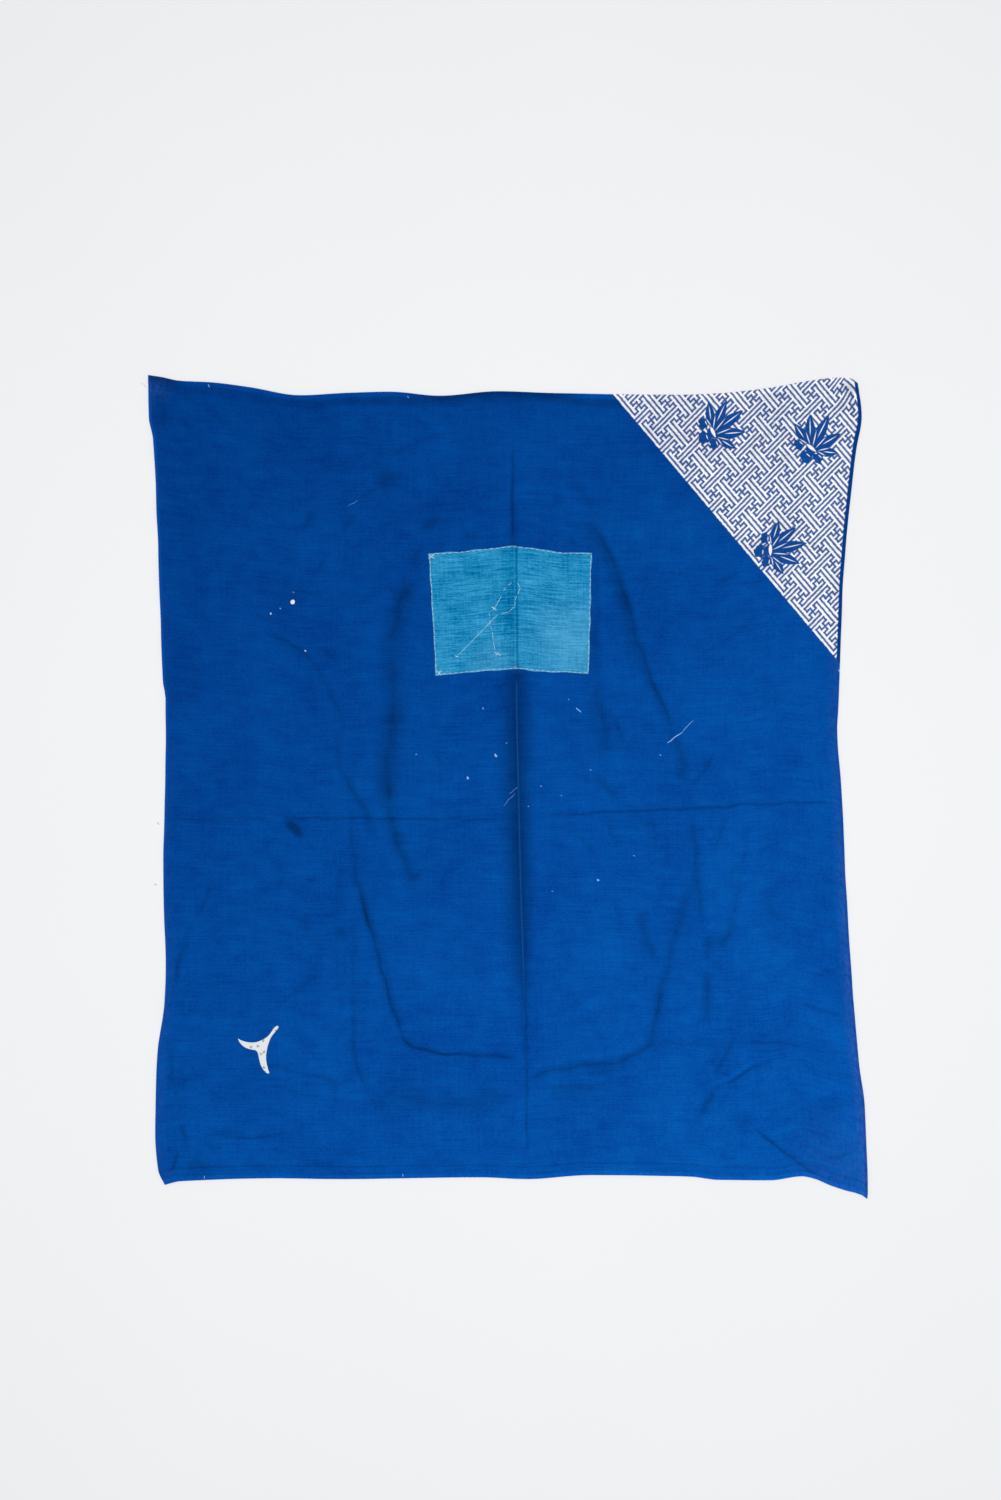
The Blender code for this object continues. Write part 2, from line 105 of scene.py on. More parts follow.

# Folds and creases, each along a path: how far the cloth rises there (less than zero where it
# dips), how dark the shade painted softly in it is (less than zero, a painted highlight), how dark
# its crisp painted shade line is, and how far it reaches to the left and to the right of its path
FOLDS = [
    # round the crown, from its top down the left side
    (-1, 0.34, 0, 11, 11, [(-64, 275), (-78, 263), (-88, 252)]),
    (-1.2, 0.14, 0.05, 9, 9, [(-82, 248), (-92, 232), (-98, 214)]),
    (-1, 0.12, 0.05, 8, 8, [(-94, 206), (-106, 190), (-114, 168)]),
    (-2.6, 0.34, 0, 17, 16, [(-98, 210), (-106, 187), (-113, 162), (-117, 137), (-115, 107),
        (-113, 82), (-116, 57), (-120, 32), (-122, 7), (-120, -18)]),
    (-1.8, 0.3, 0.05, 13, 13, [(-122, 12), (-118, -22), (-114, -48), (-105, -68), (-98, -86),
        (-96, -106)]),
    (-0.6, 0.12, 0.04, 7, 7, [(-98, -96), (-92, -88), (-82, -80)]),
    (-0.8, 0.14, 0.1, 7, 7, [(-246, 157), (-223, 147), (-203, 133), (-190, 119), (-182, 102),
        (-172, 82), (-163, 60)]),
    (-0.8, 0.14, 0, 8, 8, [(-164, 66), (-170, 46), (-172, 26), (-164, 8)]),
    (-1.4, 0.24, 0.06, 9, 9, [(-168, 20), (-159, 2), (-148, -14), (-140, -32), (-132, -56)]),
    (-1, 0.14, 0.1, 6, 6, [(-158, -13), (-156, -43), (-155, -63), (-150, -98), (-144, -123)]),
    (-2.2, 0.24, 0.22, 9, 6, [(-152, -92), (-144, -123), (-135, -146), (-126, -183), (-118, -213),
        (-111, -233), (-104, -253)]),
    (-0.6, 0.16, 0, 8, 8, [(-146, -118), (-138, -136), (-134, -150)]),
    # its foot, from left to right
    (-2.2, 0.2, 0.3, 6, 6, [(-111, -240), (-104, -253), (-96, -260), (-68, -266), (-48, -267),
        (-33, -268), (-8, -268), (12, -272)]),
    (-1.6, 0.24, 0.13, 9, 8, [(22, -293), (37, -284), (62, -280), (92, -277), (112, -275),
        (128, -266), (142, -258), (145, -244)]),
    (-1, 0.14, 0.06, 6, 6, [(62, -287), (92, -285), (112, -282), (126, -272)]),
    (-0.5, 0.12, 0, 15, 15, [(30, -300), (66, -308), (104, -300)]),
    (0.5, -0.06, 0, 7, 7, [(30, -284), (62, -270), (112, -265), (131, -256), (139, -247)]),
    (0.4, -0.05, 0, 6, 6, [(-94, -248), (-84, -257), (-48, -260), (-4, -261)]),
    # up its right side
    (-1.4, 0.2, 0.09, 7, 7, [(139, -263), (144, -248), (148, -230), (154, -203)]),
    (-1.2, 0.19, 0.03, 9, 9, [(149, -226), (154, -203), (160, -183), (164, -160), (170, -140),
        (176, -120), (184, -93)]),
    (-1, 0.26, 0.03, 10, 9, [(132, -116), (135, -144), (141, -160), (148, -174)]),
    # the arc right of the patch, from its top down
    (-2.6, 0.32, 0.08, 7, 20, [(80, 270), (92, 250), (101, 235), (110, 212), (117, 190), (124, 167),
        (131, 142), (138, 122)]),
    (-1.6, 0.26, 0.12, 6, 12, [(132, 138), (140, 116), (150, 92), (158, 74), (165, 56)]),
    (-1.4, 0.26, 0, 9, 12, [(160, 66), (168, 46), (175, 24), (177, -2)]),
    (-1.5, 0.2, 0, 5, 17, [(88, 230), (89, 187), (89, 137), (92, 107)]),
    (-1.3, 0.25, 0, 9, 18, [(88, 110), (93, 82), (99, 54), (100, 26)]),
    (-0.8, 0.18, 0.06, 7, 9, [(98, 86), (110, 60), (114, 34)]),
    (-0.8, 0.24, 0.1, 7, 7, [(84, 14), (96, 3), (106, -8), (114, -18)]),
    (-0.6, 0.05, 0, 14, 10, [(-78, 232), (-48, 240), (-8, 246), (42, 243), (82, 236)]),
    # along the ridge, above the patch and below the crown
    (0, 0, 0.3, 6, 6, [(6, 342), (5, 317), (4, 287), (4, 252), (5, 238)]),
    (0, 0, 0.2, 6, 6, [(16, -183), (18, -233), (18.5, -273), (19, -343), (19.5, -368)]),
    # the two pressed lines that cross the ridge
    (-0.7, 0.02, 0.13, 6, 6, [(-343, -33.5), (-268, -31.5), (-228, -31)]),
    (-0.7, 0.04, 0.24, 6, 6, [(-232, -31), (-143, -31), (-58, -32.5), (-8, -33)]),
    (-0.7, 0.04, 0.3, 6, 6, [(32, -28.5), (92, -25.5), (152, -23), (222, -19), (257, -17),
        (330, -15)]),
    (0, 0.02, 0.16, 6, 6, [(112, -24.5), (152, -23), (222, -19), (262, -17)]),
    # the upper left
    (0.9, -0.04, 0, 6, 6, [(-138, 334), (-98, 347), (-58, 360), (-28, 372)]),
    (-0.6, 0.07, 0.06, 6, 6, [(-132, 330), (-98, 341), (-60, 354), (-34, 360)]),
    (-0.7, 0.3, 0, 17, 14, [(-134, 298), (-122, 307), (-108, 315)]),
    (-0.5, 0.12, 0.05, 7, 7, [(-152, 284), (-140, 294), (-128, 300)]),
    (-0.6, 0.22, 0.06, 7, 7, [(-168, 252), (-160, 264), (-146, 278)]),
    (-0.5, 0.14, 0.05, 5, 5, [(-163, 240), (-157, 250)]),
    (-0.5, 0.12, 0.04, 5, 5, [(-191, 216), (-182, 232)]),
    (-0.6, 0.13, 0.04, 7, 7, [(-209, 254), (-200, 266), (-189, 282)]),
    (-0.4, 0.1, 0.03, 5, 5, [(-236, 266), (-230, 276)]),
    (-0.6, 0.1, 0.1, 6, 6, [(-190, 140), (-178, 134), (-166, 118)]),
    (-0.4, 0.12, 0, 5, 5, [(-184, 166), (-179, 152)]),
    (-0.5, 0.09, 0.08, 6, 6, [(-232, 206), (-208, 195), (-172, 186)]),
    (-0.4, 0.07, 0.05, 5, 5, [(-238, 216), (-222, 208), (-208, 206)]),
    (0.9, 0.16, 0.06, 7, 7, [(-353, 387), (-344, 394), (-334, 398)]),
    (0.8, 0.26, 0, 7, 7, [(336, 408), (341, 396), (345, 384)]),
    (0.7, 0.14, 0.06, 7, 7, [(-304, 382), (-286, 364), (-262, 350)]),
    (-0.5, 0.14, 0.04, 8, 8, [(-334, 372), (-322, 362), (-310, 360)]),
    (-0.9, 0.16, 0, 12, 12, [(-352, 398), (-344, 374), (-346, 350)]),
    (-0.5, 0.06, 0.05, 6, 6, [(-270, 330), (-245, 322), (-222, 300)]),
    (-0.5, 0.07, 0.04, 8, 8, [(-196, 315), (-168, 322), (-140, 338)]),
    (-0.4, 0.09, 0.03, 9, 7, [(-316, 138), (-312, 112), (-314, 86)]),
    # above the patch
    (-0.6, 0.26, 0.08, 8, 8, [(-50, 247), (-38, 251), (-26, 249)]),
    (-0.6, 0.16, 0.06, 7, 7, [(56, 252), (64, 244), (76, 238)]),
    (0.9, -0.13, 0, 5, 5, [(46, 310), (60, 290), (82, 266)]),
    (-0.6, 0.05, 0.06, 6, 6, [(58, 322), (72, 300), (84, 278), (92, 262)]),
    (-0.5, 0.06, 0.05, 7, 7, [(-8, 312), (-22, 292), (-36, 280)]),
    # the right side
    (-0.5, 0.09, 0.05, 6, 6, [(118, 207), (150, 209), (188, 212)]),
    (-0.5, 0.1, 0.05, 6, 6, [(200, 198), (214, 206), (238, 218)]),
    (0.5, -0.05, 0, 4, 4, [(205, 128), (240, 158), (286, 182)]),
    (-0.4, 0.06, 0.05, 5, 5, [(196, 132), (222, 150), (252, 174)]),
    (-0.5, 0.12, 0, 9, 9, [(246, 82), (258, 88), (272, 92)]),
    (-0.7, 0.15, 0.14, 5, 5, [(208, 38), (198, 20), (186, 4), (182, -4)]),
    (-0.6, 0.14, 0.07, 5, 5, [(330, 82), (318, 66)]),
    (-0.6, 0.14, 0.07, 5, 5, [(330, 66), (320, 50), (314, 42)]),
    (-0.7, 0.15, 0.08, 6, 6, [(220, -28), (214, -44), (206, -62)]),
    (-0.6, 0.12, 0.06, 5, 5, [(228, -70), (226, -84), (220, -98)]),
    (-0.4, 0.1, 0.04, 5, 5, [(250, -66), (260, -60), (272, -54)]),
    (-1, 0.2, 0.06, 8, 8, [(182, -28), (188, -63), (189, -93), (192, -118), (195, -143)]),
    (-0.8, 0.18, 0, 10, 10, [(199, -142), (201, -158), (198, -176)]),
    (-0.8, 0.3, 0, 9, 9, [(197, -178), (200, -206), (198, -238)]),
    (-0.6, 0.28, 0, 9, 9, [(206, -162), (215, -154), (223, -142), (227, -130)]),
    (0.8, -0.16, 0, 5, 5, [(195, -147), (205, -137), (218, -124)]),
    (-0.7, 0.1, 0.07, 7, 7, [(62, -38), (78, -56), (90, -71)]),
    (-0.6, 0.15, 0.08, 6, 6, [(97, -27), (102, -40), (106, -56)]),
    (-0.4, 0.16, 0, 9, 9, [(126, -30), (138, -38), (146, -44)]),
    (-0.4, 0.13, 0, 6, 6, [(160, -40), (158, -62), (162, -84)]),
    (0.6, -0.08, 0, 5, 5, [(178, -60), (174, -88), (164, -112)]),
    (-0.4, 0.1, 0, 7, 7, [(56, -284), (70, -300), (90, -302)]),
    (-0.5, 0.06, 0.07, 6, 6, [(128, -8), (140, -20), (146, -48), (152, -72)]),
    (-0.5, 0.06, 0.06, 6, 6, [(236, -30), (240, -52), (232, -84), (228, -118), (216, -150)]),
    (-0.5, 0.07, 0.04, 9, 9, [(252, -96), (262, -124), (280, -140), (296, -144)]),
    (-0.5, 0.1, 0.06, 6, 6, [(306, -76), (320, -92), (336, -106)]),
    (-0.4, 0.1, 0.05, 6, 6, [(308, -182), (322, -184), (340, -178)]),
    (-0.6, 0.14, 0.08, 5, 5, [(290, -212), (308, -222), (326, -227), (346, -224)]),
    (-0.4, 0.05, 0.05, 6, 6, [(188, 108), (206, 124), (232, 136)]),
    # the lower right fan
    (-1.6, 0.2, 0.1, 7, 6, [(228, -246), (221, -262), (212, -278), (200, -292)]),
    (-0.8, 0.12, 0.06, 5, 5, [(214, -254), (208, -268), (198, -284)]),
    (-1, 0.25, 0.03, 9, 8, [(212, -294), (204, -306), (196, -320), (188, -334)]),
    (-0.8, 0.12, 0, 9, 9, [(190, -330), (184, -344), (180, -358)]),
    (1, -0.14, 0, 4, 4, [(196, -300), (212, -293), (232, -283), (256, -270), (271, -263)]),
    (-1, 0.12, 0.12, 5, 5, [(204, -303), (222, -294), (246, -280), (262, -272)]),
    (-0.9, 0.08, 0.1, 5, 5, [(140, -254), (166, -256), (196, -258), (237, -255)]),
    (-0.9, 0.14, 0.14, 5, 5, [(236, -254), (258, -255), (282, -257), (300, -261)]),
    (-0.9, 0.05, 0.08, 5, 5, [(282, -258), (312, -264), (344, -268)]),
    (-0.6, 0.14, 0, 14, 12, [(220, -334), (232, -338), (246, -338)]),
    (-1.2, 0.08, 0.3, 6, 6, [(244, -341), (262, -354), (279, -367), (314, -391)]),
    (0.6, -0.13, 0, 5, 5, [(298, -314), (320, -306), (344, -292)]),
    (-0.5, 0.1, 0.06, 7, 7, [(286, -318), (312, -322), (344, -318)]),
    (-0.5, 0.1, 0, 8, 8, [(262, -330), (290, -334), (318, -332)]),
    (-0.4, 0.1, 0, 7, 7, [(276, -346), (300, -350), (326, -346)]),
    (-0.6, 0.1, 0.1, 5, 5, [(314, -372), (330, -370), (346, -364)]),
    (-0.5, 0.09, 0, 9, 9, [(222, -338), (218, -356), (216, -374)]),
    # the lower left
    (-0.9, 0.16, 0.12, 6, 6, [(-156, -203), (-155, -233), (-155, -263), (-148, -290),
        (-137, -310)]),
    (-0.8, 0.18, 0, 10, 10, [(-144, -300), (-130, -316), (-112, -328)]),
    (-0.5, 0.09, 0.04, 6, 6, [(-160, -226), (-168, -242), (-174, -264)]),
    (-0.4, 0.08, 0.06, 5, 5, [(-156, -126), (-154, -160), (-156, -203)]),
    (-0.4, 0.1, 0, 9, 9, [(-200, -134), (-190, -160), (-184, -178)]),
    (-0.6, 0.12, 0.05, 5, 5, [(-183, -206), (-170, -199), (-158, -193)]),
    (-0.7, 0.08, 0.08, 5, 5, [(-184, -180), (-208, -203), (-246, -231)]),
    (-0.8, 0.14, 0.06, 6, 6, [(-293, -93), (-302, -112), (-312, -130)]),
    (-0.8, 0.15, 0.06, 7, 7, [(-320, -142), (-329, -172), (-336, -208)]),
    (-0.4, 0.12, 0.03, 5, 5, [(-334, -124), (-322, -125)]),
    (-0.9, 0.06, 0.2, 5, 5, [(-296, -349), (-268, -351), (-238, -349), (-214, -344)]),
    (-0.4, 0.1, 0.06, 4, 5, [(-308, -341), (-286, -344), (-262, -344)]),
    (-0.6, 0.1, 0.06, 5, 5, [(-304, -355), (-292, -360), (-280, -361)]),
    (-1, 0.12, 0.24, 6, 6, [(-329, -332), (-326, -342), (-321, -358)]),
    (-1, 0.16, 0.28, 6, 6, [(-327, -359), (-332, -371), (-337, -387)]),
    (-0.8, 0.26, 0, 14, 12, [(-320, -370), (-308, -377), (-296, -387)]),
    (-0.6, 0.1, 0.1, 6, 6, [(-322, -372), (-316, -381), (-309, -387)]),
    (0.8, -0.14, 0, 9, 9, [(-286, -362), (-278, -372), (-268, -384)]),
    (-0.7, 0.12, 0.05, 7, 7, [(-340, -245), (-336, -285), (-330, -318)]),
    (-0.4, 0.14, 0, 9, 9, [(-332, -304), (-322, -292), (-312, -286)]),
    (-0.5, 0.06, 0.06, 6, 6, [(-238, -74), (-220, -100), (-198, -116)]),
    (-0.4, 0.2, 0, 8, 8, [(-202, -96), (-192, -89)]),
    (-0.5, 0.15, 0, 12, 12, [(-210, -124), (-202, -144), (-200, -158)]),
    (-0.4, 0.24, 0, 9, 9, [(-171, -153), (-162, -141)]),
    (-0.4, 0.12, 0.03, 8, 8, [(-206, -170), (-196, -180), (-190, -192)]),
    (-0.5, 0.07, 0.05, 7, 7, [(-258, -276), (-208, -285), (-163, -298)]),
    (-0.5, 0.07, 0.05, 7, 7, [(-238, -298), (-208, -306), (-178, -313)]),
    (-0.6, 0.12, 0.04, 8, 8, [(-190, -278), (-176, -296), (-168, -322)]),
    (-0.5, 0.06, 0.06, 7, 7, [(-330, -262), (-302, -300), (-268, -322)]),
    (-0.5, 0.06, 0.05, 7, 7, [(-178, -60), (-168, -84), (-170, -118)]),
    # inside the crown, and below its foot
    (-0.5, 0.08, 0.08, 6, 6, [(-76, 40), (-66, 22), (-58, 12)]),
    (-0.4, 0.1, 0, 14, 14, [(-46, 108), (-34, 92)]),
    (-0.4, 0.09, 0, 10, 10, [(-56, 78), (-48, 66)]),
    (-0.4, 0.14, 0, 9, 9, [(-46, -130), (-36, -122)]),
    (-0.4, 0.12, 0, 8, 8, [(-44, -84), (-36, -82)]),
    (-0.4, 0.1, 0, 9, 9, [(-66, -84), (-62, -96)]),
    (-0.5, 0.05, 0.05, 7, 7, [(-72, -160), (-52, -180), (-20, -186)]),
    (-0.6, 0.16, 0, 24, 24, [(-132, -304), (-82, -314), (-28, -316), (6, -311)]),
    (0.9, -0.05, 0, 9, 9, [(-112, -342), (-92, -350), (-58, -354)]),
    (0.6, -0.06, 0, 8, 8, [(34, -248), (62, -230), (92, -214)]),
    (-0.6, 0.08, 0.05, 12, 12, [(42, -300), (82, -298), (122, -295)]),
]

# Soft rolls between them: how far each rises, how far it reaches to both sides, and its path
ROLLS = [
    (2, 20, [(-136, 187), (-142, 137), (-139, 60), (-142, -3)]),
    (2, 17, [(104, 187), (112, 137), (137, 37)]),
    (2.2, 13, [(-246, 166), (-203, 140), (-176, 112)]),
    (1.8, 13, [(-96, -279), (-38, -285), (10, -289)]),
    (1.8, 13, [(36, -299), (102, -293), (152, -276)]),
    (2.2, 12, [(-147, -215), (-146, -258), (-138, -290), (-118, -316)]),
    (2.2, 12, [(-293, -104), (-313, -146), (-325, -185), (-331, -222)]),
    (2.6, 11, [(-320, -332), (-314, -360), (-322, -386)]),
    (1.6, 9, [(-292, -345), (-232, -343)]),
    (2.6, 12, [(244, -252), (228, -282), (208, -311), (190, -345)]),
    (2.2, 9, [(202, -300), (236, -282), (276, -264)]),
    (3, 10, [(248, -338), (282, -360), (320, -388)]),
    (2, 13, [(194, -80), (203, -140), (206, -205)]),
    (1.7, 10, [(292, -212), (320, -222), (346, -222)]),
    (1.5, 12, [(-130, 338), (-78, 356), (-36, 374)]),
    (2.2, 12, [(-346, 398), (-312, 379)]),
]
# How far from its ends a fold fades out, how far it wanders off its path, how steeply its height
# and its painted shading fall away beside it, and how uneven the painted shading is
FOLD_TAPER = 22.0
FOLD_WANDER = 0.8
FOLD_FALL = 1.3
PAINTED_SHADING_FALL = 1.5
PAINTED_SHADING_UNEVEN = 0.2
PAINTED_SHADING_LIMITS = (0.6, 1.3)
# How far off its path a crease's painted shade line is at its darkest, fades out, and is looked for
# at all
CREASE_NEAR = 3.6
CREASE_FADE = 2.0
CREASE_FAR = 12.0


def smooth_step(share):
    share = np.clip(share, 0.0, 1.0)
    return share * share * (3.0 - 2.0 * share)


def smooth_curve(rows, key, value, at):
    """The value column of a table at a key, on a smooth curve that never overshoots the rows."""
    keys, values = np.array(sorted((row[key], row[value]) for row in rows)).T
    spans = np.diff(keys)
    slopes = np.diff(values) / spans
    product = slopes[:-1] * slopes[1:]
    total = slopes[:-1] + slopes[1:]
    inner = np.where(product > 0, 2 * product / np.where(product > 0, total, 1.0), 0.0)
    tangents = np.concatenate(([slopes[0]], inner, [slopes[-1]]))
    at = np.clip(at, keys[0], keys[-1])
    i = np.clip(np.searchsorted(keys, at, side="right") - 1, 0, len(spans) - 1)
    t = (at - keys[i]) / spans[i]
    return (
        values[i] * (1 + 2 * t) * (1 - t) ** 2
        + values[i + 1] * t * t * (3 - 2 * t)
        + spans[i] * tangents[i] * t * (1 - t) ** 2
        - spans[i] * tangents[i + 1] * t * t * (1 - t)
    )


def mix(a, b, share):
    return a + (b - a) * share


def between_edges(across, along):
    """Where a point of the cut cloth lies, from the four laid edges alone."""
    u = across / CUT_WIDTH
    v = along / CUT_LENGTH
    top_x = mix(TOP_EDGE[0][0], TOP_EDGE[-1][0], u)
    bottom_x = mix(BOTTOM_EDGE[0][0], BOTTOM_EDGE[-1][0], u)
    left_y = mix(BOTTOM_EDGE[0][1], TOP_EDGE[0][1], v)
    right_y = mix(BOTTOM_EDGE[-1][1], TOP_EDGE[-1][1], v)
    top = (top_x, smooth_curve(TOP_EDGE, 0, 1, top_x))
    bottom = (bottom_x, smooth_curve(BOTTOM_EDGE, 0, 1, bottom_x))
    left = (smooth_curve(LEFT_EDGE, 1, 0, left_y), left_y)
    right = (smooth_curve(RIGHT_EDGE, 1, 0, right_y), right_y)
    place = []
    for i in (0, 1):
        low = mix(BOTTOM_EDGE[0][i], BOTTOM_EDGE[-1][i], u)
        high = mix(TOP_EDGE[0][i], TOP_EDGE[-1][i], u)
        place.append(mix(bottom[i], top[i], v) + mix(left[i], right[i], u) - mix(low, high, v))
    return place


def with_ridge(across, along):
    """The same, with the pressed line of the cloth drawn over to the crest of the ridge."""
    x, y = between_edges(across, along)
    line_x, line_y = between_edges(RIDGE_ACROSS, along)
    pull = smooth_step(1.0 - np.abs(across - RIDGE_ACROSS) / RIDGE_PULL_REACH)
    return x + pull * (smooth_curve(RIDGE, 0, 1, line_y) - line_x), y


def patch_place(across, along):
    """Where a point of the patch lies, from the patch's own laid outline."""
    on_left = across < RIDGE_ACROSS
    start = np.where(on_left, PATCH_ACROSS[0], RIDGE_ACROSS)
    end = np.where(on_left, RIDGE_ACROSS, PATCH_ACROSS[1])
    share = (across - start) / (end - start)
    ends = []
    for outline in (PATCH_TOP, PATCH_BOTTOM):
        first = np.where(on_left, outline[0][0], outline[2][0])
        last = np.where(on_left, outline[2][0], outline[4][0])
        x = mix(first, last, share)
        ends.append((x, smooth_curve(outline, 0, 1, x)))
    v = (along - PATCH_ALONG[0]) / (PATCH_ALONG[1] - PATCH_ALONG[0])
    return [mix(ends[1][i], ends[0][i], v) for i in (0, 1)]


def laid(across, along):
    """Where a point of the cut cloth lies, with the patch pulling the cloth about it."""
    across, along = np.broadcast_arrays(np.asarray(across, float), np.asarray(along, float))
    x, y = with_ridge(across, along)
    near_across = np.clip(across, *PATCH_ACROSS)
    near_along = np.clip(along, *PATCH_ALONG)
    away = np.hypot(across - near_across, along - near_along)
    pull = smooth_step(1.0 - away / PATCH_PULL_REACH)
    free = with_ridge(near_across, near_along)
    held = patch_place(near_across, near_along)
    return x + pull * (held[0] - free[0]), y + pull * (held[1] - free[1])


def along_path(path, x, y):
    """How far points lie from a path, how far along it, and whether they are left of it."""
    steps = [(a, b, math.dist(a, b)) for a, b in zip(path, path[1:])]
    total = sum(length for a, b, length in steps)
    nearest = np.full(x.shape, np.inf)
    run = np.zeros(x.shape)
    on_left = np.zeros(x.shape, bool)
    done = 0.0
    for (ax, ay), (bx, by), length in steps:
        t = np.clip(((x - ax) * (bx - ax) + (y - ay) * (by - ay)) / length**2, 0.0, 1.0)
        distance = np.hypot(x - mix(ax, bx, t), y - mix(ay, by, t))
        closer = distance < nearest
        nearest = np.where(closer, distance, nearest)
        run = np.where(closer, done + t * length, run)
        left = (bx - ax) * (y - ay) - (by - ay) * (x - ax) > 0
        on_left = np.where(closer, left, on_left)
        done += length
    return nearest, np.minimum(run, total - run), on_left


def in_reach(path, reach, x, y):
    """Which points lie in the box about a path."""
    low_x, low_y = np.min(path, axis=0) - reach
    high_x, high_y = np.max(path, axis=0) + reach
    return (x > low_x) & (x < high_x) & (y > low_y) & (y < high_y)


def random_waves(x, y, lengths, seed):
    """Low random waves of these lengths, mostly between -1 and 1."""
    rng = np.random.default_rng(seed)
    total = np.zeros(x.shape)
    for length in lengths:
        for turn, phase in rng.uniform(0.0, 2 * math.pi, (5, 2)):
            run = x * math.cos(turn) + y * math.sin(turn)
            total += np.sin(run * 2 * math.pi / length + phase)
    return total / math.sqrt(5 * len(lengths))


# The backing piece lifts the cloth over it: the lift, how far past its edge it reaches, and the
# distance over which it fades
BACKING_CENTRE = (-249.0, -261.0)
BACKING_SIZE = (64.0, 72.0)
BACKING_LIFT = 0.65
BACKING_MARGIN = 6.0
BACKING_FADE = 14.0
# Where nothing lies under it, the cloth stands a little off the table, with low random waves, and
# its selvedges curl up
REST_LIFT = 0.6
WAVES = 0.16
SMALL_WAVES = 0.07
CURL_RISE = 0.6
CURL_WIDTH = 9.0


def folds(x, y):
    """The folds' lift and painted shading at points, and how far off and dark the next painted
    crease line is.
    """
    lift = np.zeros(x.shape)
    painted_shading = np.zeros(x.shape)
    off_crease = np.full(x.shape, CREASE_FAR)
    crease = np.zeros(x.shape)
    standing = np.zeros(x.shape)
    uneven = np.clip(1.0 + PAINTED_SHADING_UNEVEN * random_waves(x, y, (41, 67), 23), *PAINTED_SHADING_LIMITS)
    waves = [FOLD_WANDER * random_waves(x, y, (23, 41), seed) for seed in (21, 22)]
    x, y = x + waves[0], y + waves[1]
    for rise, half_width, path in ROLLS:
        near = in_reach(path, half_width, x, y)
        distance, run, on_left = along_path(path, x[near], y[near])
        across = 0.5 + 0.5 * np.cos(math.pi * np.minimum(distance / half_width, 1.0))
        lift[near] += rise * across * smooth_step(0.15 + run / FOLD_TAPER)
    for rise, soft, dark, left, right, path in FOLDS:
        near = in_reach(path, max(left, right, CREASE_FAR), x, y)
        distance, run, on_left = along_path(path, x[near], y[near])
        share = np.clip(distance / np.where(on_left, left, right), 0.0, 1.0)
        length = sum(math.dist(a, b) for a, b in zip(path, path[1:]))
        ends = smooth_step(0.1 + run / min(FOLD_TAPER, 0.45 * length))
        lift[near] += rise * (1.0 - share) ** FOLD_FALL * ends
        # painted shade in the fold, or painted highlight where soft is below zero
        painted_shading[near] += soft * (1.0 - share) ** PAINTED_SHADING_FALL * ends * uneven[near]
        # a crease's crisp painted shade line
        if dark:
            dark = dark * uneven[near]
            weight = dark * ends * np.maximum(1.0 - distance / CREASE_FAR, 0.0)
            wins = weight > standing[near]
            standing[near] = np.where(wins, weight, standing[near])
            signed = np.where(on_left, distance, -distance)
            off_crease[near] = np.where(wins, signed, off_crease[near])
            strength = dark * ends * smooth_step(1.0 - (distance - CREASE_NEAR) / CREASE_FADE)
            crease[near] = np.where(wins, strength, crease[near])
    return lift, painted_shading, off_crease, crease


def underside(x, y):
    """Height of the cloth's underside over the table."""
    x, y = np.asarray(x, float), np.asarray(y, float)
    reach_x = np.abs(x - CROWN_CENTRE[0]) / CROWN_HALF[0]
    reach_y = np.abs(y - CROWN_CENTRE[1]) / CROWN_HALF[1]
    reach = (reach_x**CROWN_SQUARENESS + reach_y**CROWN_SQUARENESS) ** (1 / CROWN_SQUARENESS)
    height = CROWN_RISE * smooth_step((1.0 - reach) / CROWN_RIM + 0.5)
    height = height + folds(x, y)[0]
    half = smooth_curve(RIDGE, 0, 3, y)
    off_crest = np.clip(np.abs(x - smooth_curve(RIDGE, 0, 1, y)) / half, 0.0, 1.0)
    height = height + smooth_curve(RIDGE, 0, 2, y) * (1.0 - off_crest) ** RIDGE_SHARPNESS
    out_x = np.maximum(np.abs(x - BACKING_CENTRE[0]) - BACKING_SIZE[0] / 2, 0.0)
    out_y = np.maximum(np.abs(y - BACKING_CENTRE[1]) - BACKING_SIZE[1] / 2, 0.0)
    over = smooth_step(1.0 - (np.hypot(out_x, out_y) - BACKING_MARGIN) / BACKING_FADE)
    waves = WAVES * random_waves(x, y, (34, 52, 81), 11)
    waves = waves + SMALL_WAVES * random_waves(x, y, (17, 24), 12)
    return np.maximum(height + REST_LIFT + waves, 0.0) + BACKING_LIFT * over


def face(across, along):
    """Where a point of the cut cloth's face lies, in all three directions."""
    x, y = laid(across, along)
    from_end = np.minimum(along, CUT_LENGTH - along)
    hem = HEM_EXTRA * smooth_step((HEM_WIDTH - from_end) / HEM_STEP)
    from_side = np.minimum(across, CUT_WIDTH - across)
    curl = CURL_RISE * smooth_step(1.0 - from_side / CURL_WIDTH)
    curl = curl * (1.0 + random_waves(x, y, (38, 63), 13))
    return x, y, np.maximum(underside(x, y) + curl, 0.0) + CLOTH_THICKNESS + hem


def grid_lines(bands):
    """Lines of a grid over the cut cloth, from where each band ends and its number of cells."""
    lines = [0.0]
    for end, cells in bands:
        start = lines[-1]
        lines += [mix(start, end, (i + 1) / cells) for i in range(cells)]
    return lines


def rows_of(*grids):
    """One row of numbers for each place of some grids of the same shape."""
    return np.stack(grids, -1).reshape(-1, len(grids))


def quads(index):
    """Faces of a grid of points, wound to face up."""
    return rows_of(index[:-1, :-1], index[1:, :-1], index[1:, 1:], index[:-1, 1:])


def rim_of(index):
    """The points round the rim of a grid of points, in order."""
    return [*index[:-1, 0], *index[-1, :-1], *index[:0:-1, -1], *index[0, :0:-1]]


